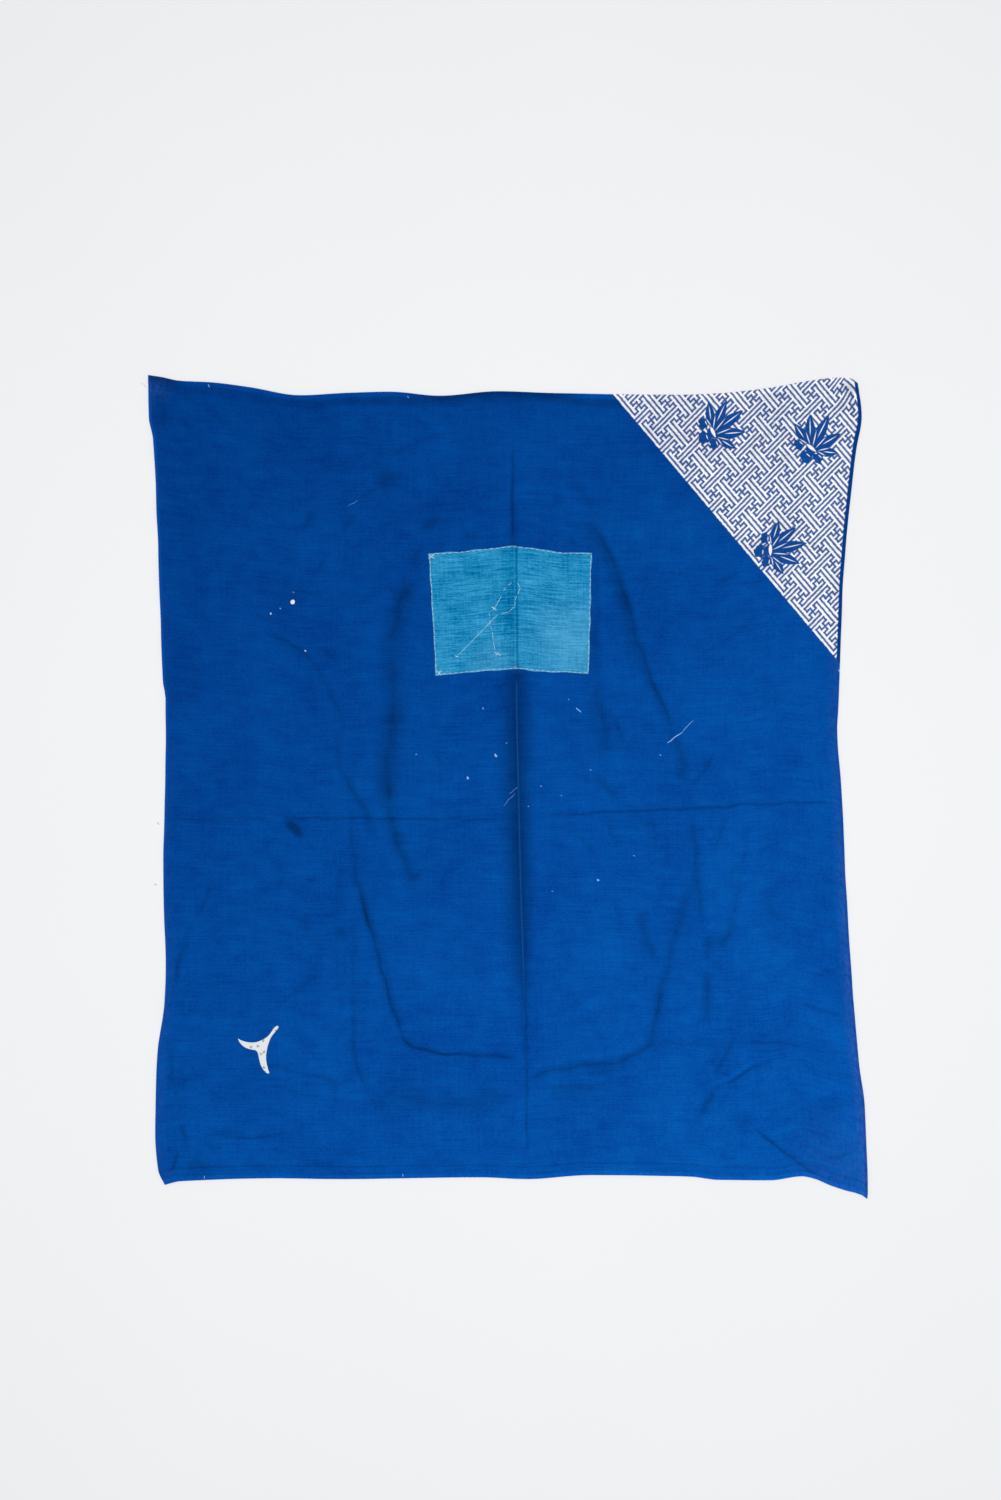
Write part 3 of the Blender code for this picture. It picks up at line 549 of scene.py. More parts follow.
across, along = np.meshgrid(
    grid_lines([(3, 2), (348, 140), (362, 12), (376, 12), (697, 132), (CUT_WIDTH, 2)]),
    grid_lines([(1.5, 1), (7.5, 2), (9, 1), (791, 262), (792.5, 1), (798.5, 2), (CUT_LENGTH, 1)]),
    indexing="ij",
)
x, y, top = face(across, along)

# The underside has a third as many lines, and passes under the lowest of the points above it
UNDER_STEP = 3
lowest = top.copy()
for step in range(-UNDER_STEP, UNDER_STEP + 1):
    for axis in (0, 1):
        lowest = np.minimum(lowest, np.roll(top, step, axis))
thinned = (slice(None, None, UNDER_STEP), slice(None, None, UNDER_STEP))
low = np.maximum(lowest[thinned] - CLOTH_THICKNESS, 0.0)
points = np.concatenate([rows_of(x, y, top), rows_of(x[thinned], y[thinned], low)])
top_index = np.arange(top.size).reshape(top.shape)
low_index = top.size + np.arange(low.size).reshape(low.shape)
top_quads, low_quads = quads(top_index), quads(low_index)[:, ::-1]
faces = top_quads.tolist() + low_quads.tolist()
top_rim, low_rim = rim_of(top_index), rim_of(low_index)
for i, start in enumerate(low_rim):
    upper = [top_rim[(UNDER_STEP * i + k) % len(top_rim)] for k in range(UNDER_STEP, -1, -1)]
    faces.append([start, low_rim[(i + 1) % len(low_rim)], *upper])


# Faces that meet at a steeper angle than this, in degrees, are shaded with a sharp edge
SHARP_ANGLE = 50.0


def add_piece(name, points, faces):
    """A mesh piece from points in millimetres."""
    mesh = bpy.data.meshes.new(name)
    mesh.from_pydata((np.asarray(points, float) * MM).tolist(), [], faces)
    mesh.validate()
    mesh.shade_smooth()
    mesh.set_sharp_from_angle(angle=math.radians(SHARP_ANGLE))
    piece = bpy.data.objects.new(name, mesh)
    bpy.context.scene.collection.objects.link(piece)
    return piece


def add_map(piece, name, corners):
    """A UV map from one pair of numbers for each corner of each face."""
    layer = piece.data.uv_layers.new(name=name)
    layer.data.foreach_set("uv", np.asarray(corners, np.float32).ravel())


def at_corners(piece, values):
    """The values of a piece's points, given for each corner of each face."""
    corner_points = np.zeros(len(piece.data.loops), int)
    piece.data.loops.foreach_get("vertex_index", corner_points)
    return values[corner_points]


cloth = add_piece("furoshiki", points, faces)

# Places on the cut cloth, for the weave
cut = np.concatenate([rows_of(across, along), rows_of(across[thinned], along[thinned])])
cut = at_corners(cloth, cut)
add_map(cloth, "cut_cloth", cut)

# The atlas for baking: the face fills its left, the underside its lower right and the rim four
# strips at its top, one above the other
ATLAS_FACE = 0.75
ATLAS_UNDER = 0.23
ATLAS_UNDER_PLACE = (0.76, 0.01)
STRIP_PLACE = (0.01, 0.87)
STRIP_LENGTH = 0.98
STRIP_HEIGHT = 0.012
STRIP_PITCH = 0.02
atlas = cut * ATLAS_FACE / CUT_WIDTH
from_low = slice(top_quads.size, top_quads.size + low_quads.size)
atlas[from_low] = cut[from_low] * ATLAS_UNDER / CUT_WIDTH + ATLAS_UNDER_PLACE
strip_cells = len(low_rim) / 4
strip_step = STRIP_LENGTH / strip_cells
next_corner = from_low.stop
for i in range(len(low_rim)):
    side = i // strip_cells
    left = STRIP_PLACE[0] + (i - side * strip_cells) * strip_step
    floor_v = STRIP_PLACE[1] + STRIP_PITCH * side
    for share, up in ((0, 0), (1, 0), (1, 1), (2 / 3, 1), (1 / 3, 1), (0, 1)):
        atlas[next_corner] = (left + share * strip_step, floor_v + STRIP_HEIGHT * up)
        next_corner += 1
add_map(cloth, "OFBake", atlas)

# Places in the key fret: s and t count its cells along its two slanting directions. Its lines lie
# 3.0 and 3.6 mm apart, too fine to show, so it is drawn a quarter coarser. The corner of the cloth
# was pulled up, and the fret with it.
FRET_ORIGIN = (221.5, 309.7)
FRET_COARSER = 1.28
FRET_S = (2.54 * FRET_COARSER, 2.58 * FRET_COARSER)
FRET_T = (1.94 * FRET_COARSER, -2.30 * FRET_COARSER)
CORNER_PULL = 8.0
CORNER_REACH = 30.0


def fret_place(x, y):
    """The fret's s and t at a place on the laid cloth."""
    away = np.hypot(x - RIGHT_EDGE[0][0], y - RIGHT_EDGE[0][1])
    y = y - CORNER_PULL * smooth_step(1.0 - away / CORNER_REACH)
    x, y = x - FRET_ORIGIN[0], y - FRET_ORIGIN[1]
    area = FRET_S[0] * FRET_T[1] - FRET_S[1] * FRET_T[0]
    s = (x * FRET_T[1] - y * FRET_T[0]) / area
    t = (FRET_S[0] * y - FRET_S[1] * x) / area
    return rows_of(s, t)


x, y = points[:, 0], points[:, 1]
add_map(cloth, "fret", at_corners(cloth, fret_place(x, y)))

# Shade is painted softly into the folds and beside the ridge, and a little highlight onto a few
# raised folds. Each crease has a crisp painted shade line as well, drawn by how far off it is,
# which stays sharp between the points of the mesh.
MOST_PAINTED_SHADING = 0.55
RIDGE_SHADE_FALL = 1.2
lift, painted_shading, off_crease, crease = folds(x, y)
# painted shade on both flanks of the ridge
off_crest = x - smooth_curve(RIDGE, 0, 1, y)
reaches = [smooth_curve(RIDGE_PAINTED_SHADE, 0, column, y) for column in (2, 3)]
reach = np.where(off_crest < 0, *reaches)
ridge_painted_shade = smooth_curve(RIDGE_PAINTED_SHADE, 0, 1, y)
ridge_painted_shade = ridge_painted_shade * np.clip(1.0 - np.abs(off_crest) / reach, 0.0, 1.0) ** RIDGE_SHADE_FALL
painted_shading = np.minimum(painted_shading + ridge_painted_shade, MOST_PAINTED_SHADING)
add_map(cloth, "painted_shading", at_corners(cloth, rows_of(painted_shading, painted_shading)))
add_map(cloth, "creases", at_corners(cloth, rows_of(off_crease, crease)))

# The tear with its three arms, two moth holes and a small slit go through the cloth
TEAR = [
    (-270.2, -251.1), (-266.9, -252.9), (-262.7, -254.4), (-259, -255.1), (-255.6, -255.3),
    (-251.5, -254.9), (-247.7, -253.6), (-244, -251.9), (-241, -249.9), (-238.4, -247.4),
    (-236.5, -244.8), (-234.6, -241.8), (-232.7, -239.7), (-230.5, -238.4), (-229.2, -239.4),
    (-230.1, -241.6), (-232, -244), (-234.2, -246.6), (-236.3, -249.3), (-237.6, -251.6),
    (-238.7, -254.7), (-240.1, -258.8), (-241, -263.1), (-241.7, -268), (-241.7, -272.5),
    (-241, -277), (-239.9, -281.5), (-238.5, -285.6), (-239.7, -286.6), (-242.1, -285.3),
    (-244.6, -282.6), (-246.8, -278.9), (-248.1, -274.8), (-248.9, -271), (-249.6, -267.3),
    (-250.6, -264.6), (-252.6, -262.9), (-255.6, -262.5), (-259, -261.8), (-262.4, -260.5),
    (-265.6, -258.3), (-268.2, -255.3),
]
MOTH_HOLES = [
    [(-217.3, 186.1), (-215.5, 187.4), (-213.6, 187.1), (-213, 185),
     (-213.8, 182.9), (-216.3, 182.6), (-217.6, 184.2)],
    [(-237.8, 174.1), (-236.6, 174.3), (-236.2, 173.1), (-237, 172.3), (-238, 172.9)],
    [(-204, 136.8), (-202.3, 137), (-201, 135.6), (-202.4, 135)],
]
HOLE_LOW = -2.0
HOLE_HIGH = 9.0
# Each wall of a hole has a narrow strip of the atlas, above the underside's place
WALL_LEFT = 0.76
WALL_WIDTH = 0.003
WALL_PITCH = 0.004
WALL_LOW = 0.4
WALL_HIGH = 0.75

hole_points, hole_faces, hole_atlas = [], [], []
left = WALL_LEFT
for outline in [TEAR, *MOTH_HOLES]:
    start, count = len(hole_points), len(outline)
    for height in (HOLE_LOW, HOLE_HIGH):
        hole_points += [(px, py, height) for px, py in outline]
    area = sum(a[0] * b[1] - b[0] * a[1] for a, b in zip(outline, outline[1:] + outline[:1]))
    ring = list(range(count)) if area > 0 else list(range(count))[::-1]
    hole_faces.append([start + k for k in reversed(ring)])
    hole_faces.append([start + count + k for k in ring])
    hole_atlas += [(WALL_LEFT + 0.01, 0.5)] * (2 * count)
    for a, b in zip(ring, ring[1:] + ring[:1]):
        hole_faces.append([start + a, start + b, start + count + b, start + count + a])
        right = left + WALL_WIDTH
        hole_atlas += [(left, WALL_LOW), (right, WALL_LOW), (right, WALL_HIGH), (left, WALL_HIGH)]
        left += WALL_PITCH
cutter = add_piece("hole_cutter", hole_points, hole_faces)
# The walls are plain blue cotton, far outside the fret
OUTSIDE_FRET = -50.0
blank = np.zeros((len(cutter.data.loops), 2))
for name, corners in (
    ("cut_cloth", blank), ("OFBake", hole_atlas), ("fret", blank + OUTSIDE_FRET),
    ("painted_shading", blank), ("creases", blank),
):
    add_map(cutter, name, corners)

cut_out = cloth.modifiers.new("holes", "BOOLEAN")
cut_out.operation = "DIFFERENCE"
cut_out.solver = "EXACT"
cut_out.object = cutter
bpy.context.view_layer.update()
settled = bpy.data.meshes.new_from_object(
    cloth.evaluated_get(bpy.context.evaluated_depsgraph_get())
)
cloth.modifiers.clear()
cloth.data = settled
settled.name = "furoshiki"
settled.set_sharp_from_angle(angle=math.radians(SHARP_ANGLE))
bpy.data.objects.remove(cutter, do_unlink=True)


def give(socket, value):
    """Links a socket to another node's output, or sets its own value."""
    if isinstance(value, bpy.types.NodeSocket):
        socket.id_data.links.new(value, socket)
    elif value is not None:
        socket.default_value = value


def add(tree, kind, *values, output=0, **settings):
    """A shader node with its settings, and a value or a link for each socket in use in turn. Its
    kind may be followed by its operation."""
    kind, *operation = kind.split()
    made = tree.nodes.new("ShaderNode" + kind)
    if operation:
        made.operation = operation[0]
    for name, value in settings.items():
        setattr(made, name, value)
    for socket, value in zip([socket for socket in made.inputs if socket.enabled], values):
        give(socket, value)
    return [socket for socket in made.outputs if socket.enabled][output]


def off_line(tree, value, line):
    """How far a value lies from a line, to either side."""
    return add(tree, "Math ABSOLUTE", add(tree, "Math SUBTRACT", value, line))


def linear(hex_code):
    """An sRGB hex colour in the linear values of a shader."""
    parts = [int(hex_code[i : i + 2], 16) / 255 for i in (1, 3, 5)]
    return [c / 12.92 if c <= 0.04045 else ((c + 0.055) / 1.055) ** 2.4 for c in parts] + [1.0]


def new_group(name, inputs, output):
    """An empty node group, the values that come into it, and the socket of its one result."""
    group = bpy.data.node_groups.new(name, "ShaderNodeTree")
    for socket, kind in inputs:
        group.interface.new_socket(socket, in_out="INPUT", socket_type="NodeSocket" + kind)
    group.interface.new_socket(output, in_out="OUTPUT", socket_type="NodeSocketFloat")
    source, result = group.nodes.new("NodeGroupInput"), group.nodes.new("NodeGroupOutput")
    return group, source.outputs, result.inputs[0]


def new_material(name, roughness, specular):
    """A material, and its shader's sockets with these two values the same all over."""
    material = bpy.data.materials.new(name)
    material.use_nodes = True
    sockets = material.node_tree.nodes["Principled BSDF"].inputs
    sockets["Roughness"].default_value = roughness
    sockets["Specular IOR Level"].default_value = specular
    return material, sockets


# The fret is one sayagata repeat of ten cells by ten. Each row gives which cells of a line are
# drawn, and the rows follow each other as the lines step away from a line of crosses. A row is one
# whole number, with a bit for each cell. The lines have soft edges.
FRET_ROWS = ["#...######", "#...#.#.#.", "#...##...#", ".#.#.#...#", "######...#"]
FRET_REPEAT = 10.0
FRET_SHIFT = 5.0
FRET_LINE = 2.05

fret_lines, source, result = new_group(
    "fret_lines", [("Across", "Float"), ("Along", "Float"), ("Half width", "Float")], "Line"
)
line = add(fret_lines, "Math ROUND", source[0])
shift = add(fret_lines, "Math DIVIDE", line, FRET_SHIFT)
shift = add(fret_lines, "Math ROUND", shift)
shift = add(fret_lines, "Math MULTIPLY", shift, FRET_SHIFT)
row = add(fret_lines, "Math SUBTRACT", line, shift)
run = add(fret_lines, "Math SUBTRACT", source[1], shift)
number = 0.0
for i, cells in enumerate(FRET_ROWS):
    code = sum(2.0**k for k, cell in enumerate(cells) if cell == "#")
    same = add(fret_lines, "Math COMPARE", row, i - 2.0, 0.1)
    number = add(fret_lines, "Math MULTIPLY_ADD", same, code, number)
drawn = []
for side in ("ADD", "SUBTRACT"):
    cell = add(fret_lines, "Math " + side, run, source[2])
    cell = add(fret_lines, "Math FLOOR", cell)
    cell = add(fret_lines, "Math FLOORED_MODULO", cell, FRET_REPEAT)
    bit = add(fret_lines, "Math DIVIDE", number, add(fret_lines, "Math POWER", 2.0, cell))
    bit = add(fret_lines, "Math FLOOR", add(fret_lines, "Math ADD", bit, 0.001))
    drawn.append(add(fret_lines, "Math FLOORED_MODULO", bit, 2.0))
drawn = add(fret_lines, "Math MAXIMUM", *drawn)
off = off_line(fret_lines, source[0], line)
inner = add(fret_lines, "Math MULTIPLY", source[2], 0.15)
outer = add(fret_lines, "Math MULTIPLY", source[2], 1.85)
edge = add(fret_lines, "MapRange", off, inner, outer, 1.0, 0.0, interpolation_type="SMOOTHSTEP")
give(result, add(fret_lines, "Math MULTIPLY", drawn, edge))

# A spray is drawn with one brush mark, which is a leaf when wide and a line when narrow, and with
# a round, ragged flower. Each is added to the marks before it, and has an edge half a millimetre
# soft.
SOFT_EDGE = 0.5
LEAF_BELLY = 0.86

brush_mark, source, result = new_group(
    "brush_mark",
    [("Place", "Vector"), ("Root", "Vector"), ("Tip", "Vector"), ("Half width", "Float"),
     ("Before", "Float")],
    "Marks",
)
stem = add(brush_mark, "VectorMath SUBTRACT", source[2], source[1])
off = add(brush_mark, "VectorMath SUBTRACT", source[0], source[1])
length = add(brush_mark, "VectorMath LENGTH", stem)
dot = add(brush_mark, "VectorMath DOT_PRODUCT", stem, off)
cross = add(brush_mark, "VectorMath CROSS_PRODUCT", stem, off)
cross = add(brush_mark, "VectorMath LENGTH", cross)
aside = add(brush_mark, "Math DIVIDE", cross, length)
square = add(brush_mark, "Math MULTIPLY", length, length)
run = add(brush_mark, "Math DIVIDE", dot, square, use_clamp=True)
bent = add(brush_mark, "Math POWER", run, LEAF_BELLY)
bent = add(brush_mark, "Math MULTIPLY_ADD", bent, 2.0, -1.0)
bent = add(brush_mark, "Math MULTIPLY", bent, bent)
wide = add(brush_mark, "Math SUBTRACT", 1.0, bent)
inside = add(brush_mark, "Math MULTIPLY", wide, source[3])
inside = add(brush_mark, "Math SUBTRACT", inside, aside)
mark = add(brush_mark, "MapRange", inside, 0.0, SOFT_EDGE)
give(result, add(brush_mark, "Math MAXIMUM", source[4], mark))

flower, source, result = new_group(
    "flower",
    [("Place", "Vector"), ("Centre", "Vector"), ("Radius", "Float"), ("Before", "Float")],
    "Marks",
)
off = add(flower, "VectorMath SUBTRACT", source[0], source[1])
off_x = add(flower, "SeparateXYZ", off)
off_y = off_x.node.outputs[1]
turn = add(flower, "Math ARCTAN2", off_y, off_x)
radius = source[2]
for lobes, depth in ((3.0, 0.7), (7.0, 0.5)):
    petal = add(flower, "Math MULTIPLY_ADD", turn, lobes, source[2])
    petal = add(flower, "Math COSINE", petal)
    radius = add(flower, "Math MULTIPLY_ADD", petal, depth, radius)
inside = add(flower, "VectorMath LENGTH", off)
inside = add(flower, "Math SUBTRACT", radius, inside)
mark = add(flower, "MapRange", inside, 0.0, SOFT_EDGE)
give(result, add(flower, "Math MAXIMUM", source[3], mark))

# The dyed cotton itself: a dull deep blue, a little paler towards the lower right, with slubs where
# the hand-spun weft and warp run thick. The yarns are about 0.4 mm thick, too fine to show, so the
# slubs are drawn 1.3 mm thick.
TONE_SLOPE = (0.0007, -0.0008, 0.0)
TONE_MIDDLE = 0.49
BLUE_SLUBS = [
    (45.0, 1.4, 0.0, 0.32), (1.5, 60.0, 3.7, 0.16), (70.0, 90.0, 9.1, 0.3),
    (24.0, 14.0, 5.3, 0.26), (12.0, 9.0, 7.7, 0.16), (3.4, 1.5, 1.9, 0.38),
]


def slubs(tree, on_cut, detail, kinds):
    """A tone about 1 that slubs raise, from each kind's size in mm, its seed and its strength."""
    tone = 1.0
    for across, along, seed, strength in kinds:
        scaled = add(tree, "VectorMath MULTIPLY", on_cut, (1 / across, 1 / along, 1.0))
        scaled = add(tree, "VectorMath ADD", scaled, (seed, seed, 0.0))
        slub = add(tree, "TexNoise", scaled, 1.0, detail, noise_dimensions="2D")
        slub = add(tree, "Math ADD", slub, -0.5)
        tone = add(tree, "Math MULTIPLY_ADD", slub, strength, tone)
    return tone


blue_cotton, shader = new_material("dyed_slub_cotton", 0.9, 0.02)
dye = blue_cotton.node_tree
place = add(dye, "VectorMath SCALE", add(dye, "TexCoord", output=3), 1 / MM)
flat_place = add(dye, "VectorMath MULTIPLY", place, (1.0, 1.0, 0.0))
on_cut = add(dye, "UVMap", uv_map="cut_cloth")
cut_x = add(dye, "SeparateXYZ", on_cut)
cut_y = cut_x.node.outputs[1]
towards_lower_right = add(dye, "VectorMath DOT_PRODUCT", place, TONE_SLOPE)
towards_lower_right = add(dye, "Math ADD", towards_lower_right, TONE_MIDDLE, use_clamp=True)
colour = add(dye, "Mix", towards_lower_right, linear("#003A84"), linear("#0352A9"), data_type="RGBA")
tone = slubs(dye, on_cut, 2.0, BLUE_SLUBS)

# A thick yarn has taken less dye, so it is paler as well as brighter: red and green gain most
PALER = (2.6, 1.5, 0.88)
paler = add(dye, "Math ADD", tone, -1.0)
paler = add(dye, "VectorMath MULTIPLY_ADD", paler, PALER, (1.0, 1.0, 1.0))
colour = add(dye, "VectorMath MULTIPLY", colour, paler)

# The white corner: undyed ground with the fret and three sprays of leaves in blue. Its lines
# waver a little, as if laid by hand.
FRET_EDGE = -7.7
FRET_WAVER = 0.22
LINE_S = FRET_LINE / 2 / (3.0 * FRET_COARSER)
LINE_T = FRET_LINE / 2 / (3.6 * FRET_COARSER)
waver = add(dye, "VectorMath MULTIPLY", place, (0.3, 0.3, 0.0))
waver = add(dye, "TexNoise", waver, 1.0, 1.0, output=1, noise_dimensions="2D")
waver = add(dye, "VectorMath ADD", waver, (-0.5, -0.5, 0.0))
waver = add(dye, "VectorMath SCALE", waver, FRET_WAVER)
in_fret = add(dye, "VectorMath ADD", add(dye, "UVMap", uv_map="fret"), waver)
fret_s = add(dye, "SeparateXYZ", in_fret)
fret_t = fret_s.node.outputs[1]
fret_t_later = add(dye, "Math ADD", fret_t, FRET_SHIFT)
along_s = add(dye, "Group", fret_t, fret_s, LINE_S, node_tree=fret_lines)
along_t = add(dye, "Group", fret_s, fret_t_later, LINE_T, node_tree=fret_lines)
fret = add(dye, "Math MAXIMUM", along_s, along_t)

# The three sprays are one stencil: where its heart lies each time, and how far it is turned. A
# point near a spray is turned into the stencil's own place.
SPRAYS = [((208.5, 356.0), 0.0), ((306.0, 341.5), 26.0), ((266.0, 236.5), -25.0)]
SPRAY_REACH = 45.0
in_spray = (90.0, 90.0, 0.0)
for heart, turned in SPRAYS:
    off = add(dye, "VectorMath SUBTRACT", flat_place, (*heart, 0.0))
    near = add(dye, "VectorMath LENGTH", off)
    near = add(dye, "Math LESS_THAN", near, SPRAY_REACH)
    off = add(dye, "VectorRotate", off, None, -math.radians(turned), rotation_type="Z_AXIS")
    in_spray = add(dye, "Mix", near, in_spray, off, data_type="VECTOR")

# The stencil, drawn about its heart: five leaves fan out of a short pale stem, over three ragged
# flowers. Each leaf: its direction in degrees, its length and its half width. The pale lines are
# 0.6 mm wide on the cloth and are drawn 1.2 mm wide at their middle, to show.
STEM = ((-6.2, 4.6), (-0.8, -7.2))
LEAVES = [
    (98.0, 26.0, 4.9), (65.0, 32.5, 5.4), (37.0, 37.0, 5.8), (5.0, 31.0, 5.8), (-32.0, 22.5, 5.1),
]
FLOWERS = [((0.0, 0.0), 8.8), ((-13.0, 7.4), 5.6), ((-12.0, -6.8), 6.5), ((-2.0, -13.0), 5.6)]
PALE_HALF_WIDTH = 0.68
STEM_HALF_WIDTH = 1.9


def ray(root, direction, start, end):
    """The two ends of a line that leaves a root in a direction in degrees."""
    turn = math.radians(direction)
    way = (math.cos(turn), math.sin(turn))
    return [tuple(root[i] + distance * way[i] for i in (0, 1)) for distance in (start, end)]


def brushed(lines, marks):
    """The stencil's marks with these lines added, each one its two ends and its half width."""
    for root, tip, half_width in lines:
        marks = add(dye, "Group", in_spray, (*root, 0.0), (*tip, 0.0), half_width, marks,
                    node_tree=brush_mark)
    return marks


spray = 0.0
for middle, radius in FLOWERS:
    spray = add(dye, "Group", in_spray, (*middle, 0.0), radius, spray, node_tree=flower)
roots = [
    (mix(STEM[0][0], STEM[1][0], share) + 1.0, mix(STEM[0][1], STEM[1][1], share))
    for share in np.linspace(0.1, 0.9, len(LEAVES))
]
leaves, pale_lines = [], []
for root, (direction, length, half_width) in zip(roots, LEAVES):
    leaves.append((*ray(root, direction, 0.0, length), half_width))
    pale_lines.append(ray(root, direction, 0.28 * length, 0.9 * length))
# the gaps beside the leaves, and a curl in each flower
fan = [(LEAVES[0][0] + 50.0, LEAVES[0][1] * 0.6), *[leaf[:2] for leaf in LEAVES],
       (LEAVES[-1][0] - 44.0, LEAVES[-1][1] * 0.8)]
for root, one, other in zip([*roots, roots[-1]], fan, fan[1:]):
    direction, length = (one[0] + other[0]) / 2, (one[1] + other[1]) / 2
    pale_lines.append(ray(root, direction, 1.0, 0.55 * length))
pale_lines += [((x + 1.4, y + 3.2), (x + 3.6, y - 2.4)) for (x, y), radius in FLOWERS[1:]]
spray = brushed(leaves, spray)
pale = brushed([(*STEM, STEM_HALF_WIDTH)], 0.0)
pale = brushed([(*line, PALE_HALF_WIDTH) for line in pale_lines], pale)
blue = add(dye, "Math SUBTRACT", 1.0, pale)
ink = add(dye, "Mix", spray, fret, blue)


def ramped(tree, value, run, *ramp):
    """A value scaled by a ramp along a run: where it starts and ends, and its height at both."""
    return add(tree, "Math MULTIPLY", value, add(tree, "MapRange", run, *ramp))


# The ink lies unevenly on the ground, and the ground has gone a little grey
grain = add(dye, "VectorMath MULTIPLY", place, (0.9, 0.9, 0.0))
grain = add(dye, "TexNoise", grain, 1.0, 2.0, noise_dimensions="2D")
ink = ramped(dye, ink, grain, 0.3, 0.5, 0.97, 1.0)
corner = add(dye, "Mix", ink, linear("#F6F6F9"), linear("#02458F"), data_type="RGBA")
corner = add(dye, "VectorMath SCALE", corner, tone)
in_corner = add(dye, "MapRange", fret_s, FRET_EDGE - 0.08, FRET_EDGE + 0.08)
colour = add(dye, "Mix", in_corner, colour, corner, data_type="RGBA")

# The selvedge is woven denser and has taken more dye. From here on most ramps give where in
# millimetres a mark starts and ends, and its strength at both.
SIDE = CUT_WIDTH / 2
off_middle = off_line(dye, cut_x, SIDE)
selvedge = add(dye, "Math MULTIPLY_ADD", grain, 1.6, off_middle)
selvedge = add(dye, "Math MULTIPLY_ADD", in_corner, 0.9, selvedge)
selvedge = add(dye, "MapRange", selvedge, SIDE - 2.2, SIDE - 1.6)
deep = add(dye, "Mix", in_corner, linear("#02479B"), linear("#023A7E"), data_type="RGBA")
colour = add(dye, "Mix", selvedge, colour, deep, data_type="RGBA")

# The dye has worn pale violet beside the selvedges, most of all low down on the right, and at two
# corners
WORN_CORNERS = [
    (4.0, CUT_LENGTH - 6.0, 6.0, 24.0, 0.6), (CUT_WIDTH - 4.0, 6.0, 20.0, 85.0, 0.4),
]


def spots(tree, on_cut, places, before, **settings):
    """The strongest of round spots: each one's centre, where it starts and ends, its strength."""
    for x, y, near, far, strength in places:
        away = add(tree, "VectorMath DISTANCE", on_cut, (x, y, 0.0))
        away = add(tree, "MapRange", away, near, far, strength, 0.0, **settings)
        before = add(tree, "Math MAXIMUM", before, away)
    return before


beside = add(dye, "MapRange", off_middle, SIDE - 13.0, SIDE - 3.0)
beside = ramped(dye, beside, cut_y, 200.0, 400.0, 1.0, 0.4)
beside = ramped(dye, beside, cut_x, SIDE - 5.0, SIDE + 5.0, 0.25, 1.0)
beside = spots(dye, on_cut, WORN_CORNERS, beside)
patchy = add(dye, "VectorMath MULTIPLY", on_cut, (0.3, 0.16, 0.0))
patchy = add(dye, "TexNoise", patchy, 1.0, 4.0, noise_dimensions="2D")
worn = ramped(dye, beside, patchy, 0.35, 0.65, 0.02, 0.16)
worn = ramped(dye, worn, in_corner, 0.0, 1.0, 1.0, 0.0)
colour = add(dye, "Mix", worn, colour, linear("#6672BE"), data_type="RGBA")

# The fold of each hem has a painted shade line and a row of small running stitches in blue thread.
# The top hem's edge is painted darker round its middle and at its left tip, and elsewhere each
# hem's edge has a painted highlight.
TOP_LINE = 9.5
LOW_LINE = 12.5
EDGE_SHADE_MIDDLE = 344.0
HEM_STITCH_ROW = HEM_WIDTH - 3.5
HEM_STITCH_PITCH = 5.0
to_end = add(dye, "Math SUBTRACT", CUT_LENGTH / 2, off_line(dye, cut_y, CUT_LENGTH / 2))
at_top = add(dye, "MapRange", cut_y, 390.0, 410.0)
# painted shade line along the top hem's fold
top_line = add(dye, "MapRange", off_line(dye, to_end, TOP_LINE), 1.5, 6.0, 0.26, 0.0)
top_line = ramped(dye, top_line, cut_x, 70.0, 290.0, 0.35, 1.0)
# painted shade at the top hem's edge, round its middle and at its left tip
edge_shade = add(dye, "MapRange", off_line(dye, cut_x, EDGE_SHADE_MIDDLE), 55.0, 95.0, 1.0, 0.0)
edge_shade_tip = add(dye, "MapRange", cut_x, 22.0, 42.0, 0.9, 0.0)
edge_shade = add(dye, "Math MAXIMUM", edge_shade, edge_shade_tip)
edge_shade_line = add(dye, "MapRange", to_end, 2.0, 13.0, 0.42, 0.0)
top_line = add(dye, "Mix", edge_shade, top_line, edge_shade_line)
# painted shade line along the bottom hem's fold
low_line = add(dye, "MapRange", off_line(dye, to_end, LOW_LINE), 0.4, 1.8, 0.14, 0.0)
dark = add(dye, "Mix", at_top, low_line, top_line)
stitch_row = add(dye, "Math COMPARE", to_end, HEM_STITCH_ROW, 0.6)
dashes = add(dye, "Math MULTIPLY", cut_x, 2 * math.pi / HEM_STITCH_PITCH)
dashes = add(dye, "Math SINE", dashes)
stitch_row = ramped(dye, stitch_row, dashes, -0.2, 0.2, 0.0, 0.14)
dark = add(dye, "Math MAXIMUM", dark, stitch_row)
# painted highlight along each hem's edge
rim = add(dye, "MapRange", to_end, 3.4, 5.2, 0.2, 0.0)
unshaded_edge = add(dye, "Math SUBTRACT", 1.0, edge_shade)
unshaded_edge = add(dye, "Mix", at_top, 1.0, unshaded_edge)
rim = add(dye, "Math MULTIPLY", rim, unshaded_edge)
dark = add(dye, "Math SUBTRACT", dark, rim)
dark = ramped(dye, dark, in_corner, 0.0, 1.0, 1.0, 0.25)

# Painted shade in the folds, painted highlight on a few raised ones, and the crisp painted shade
# line of each crease
CREASE_LINE = 2.6
painted_fold_shading = add(dye, "SeparateXYZ", add(dye, "UVMap", uv_map="painted_shading"))
dark = add(dye, "Math ADD", dark, painted_fold_shading)
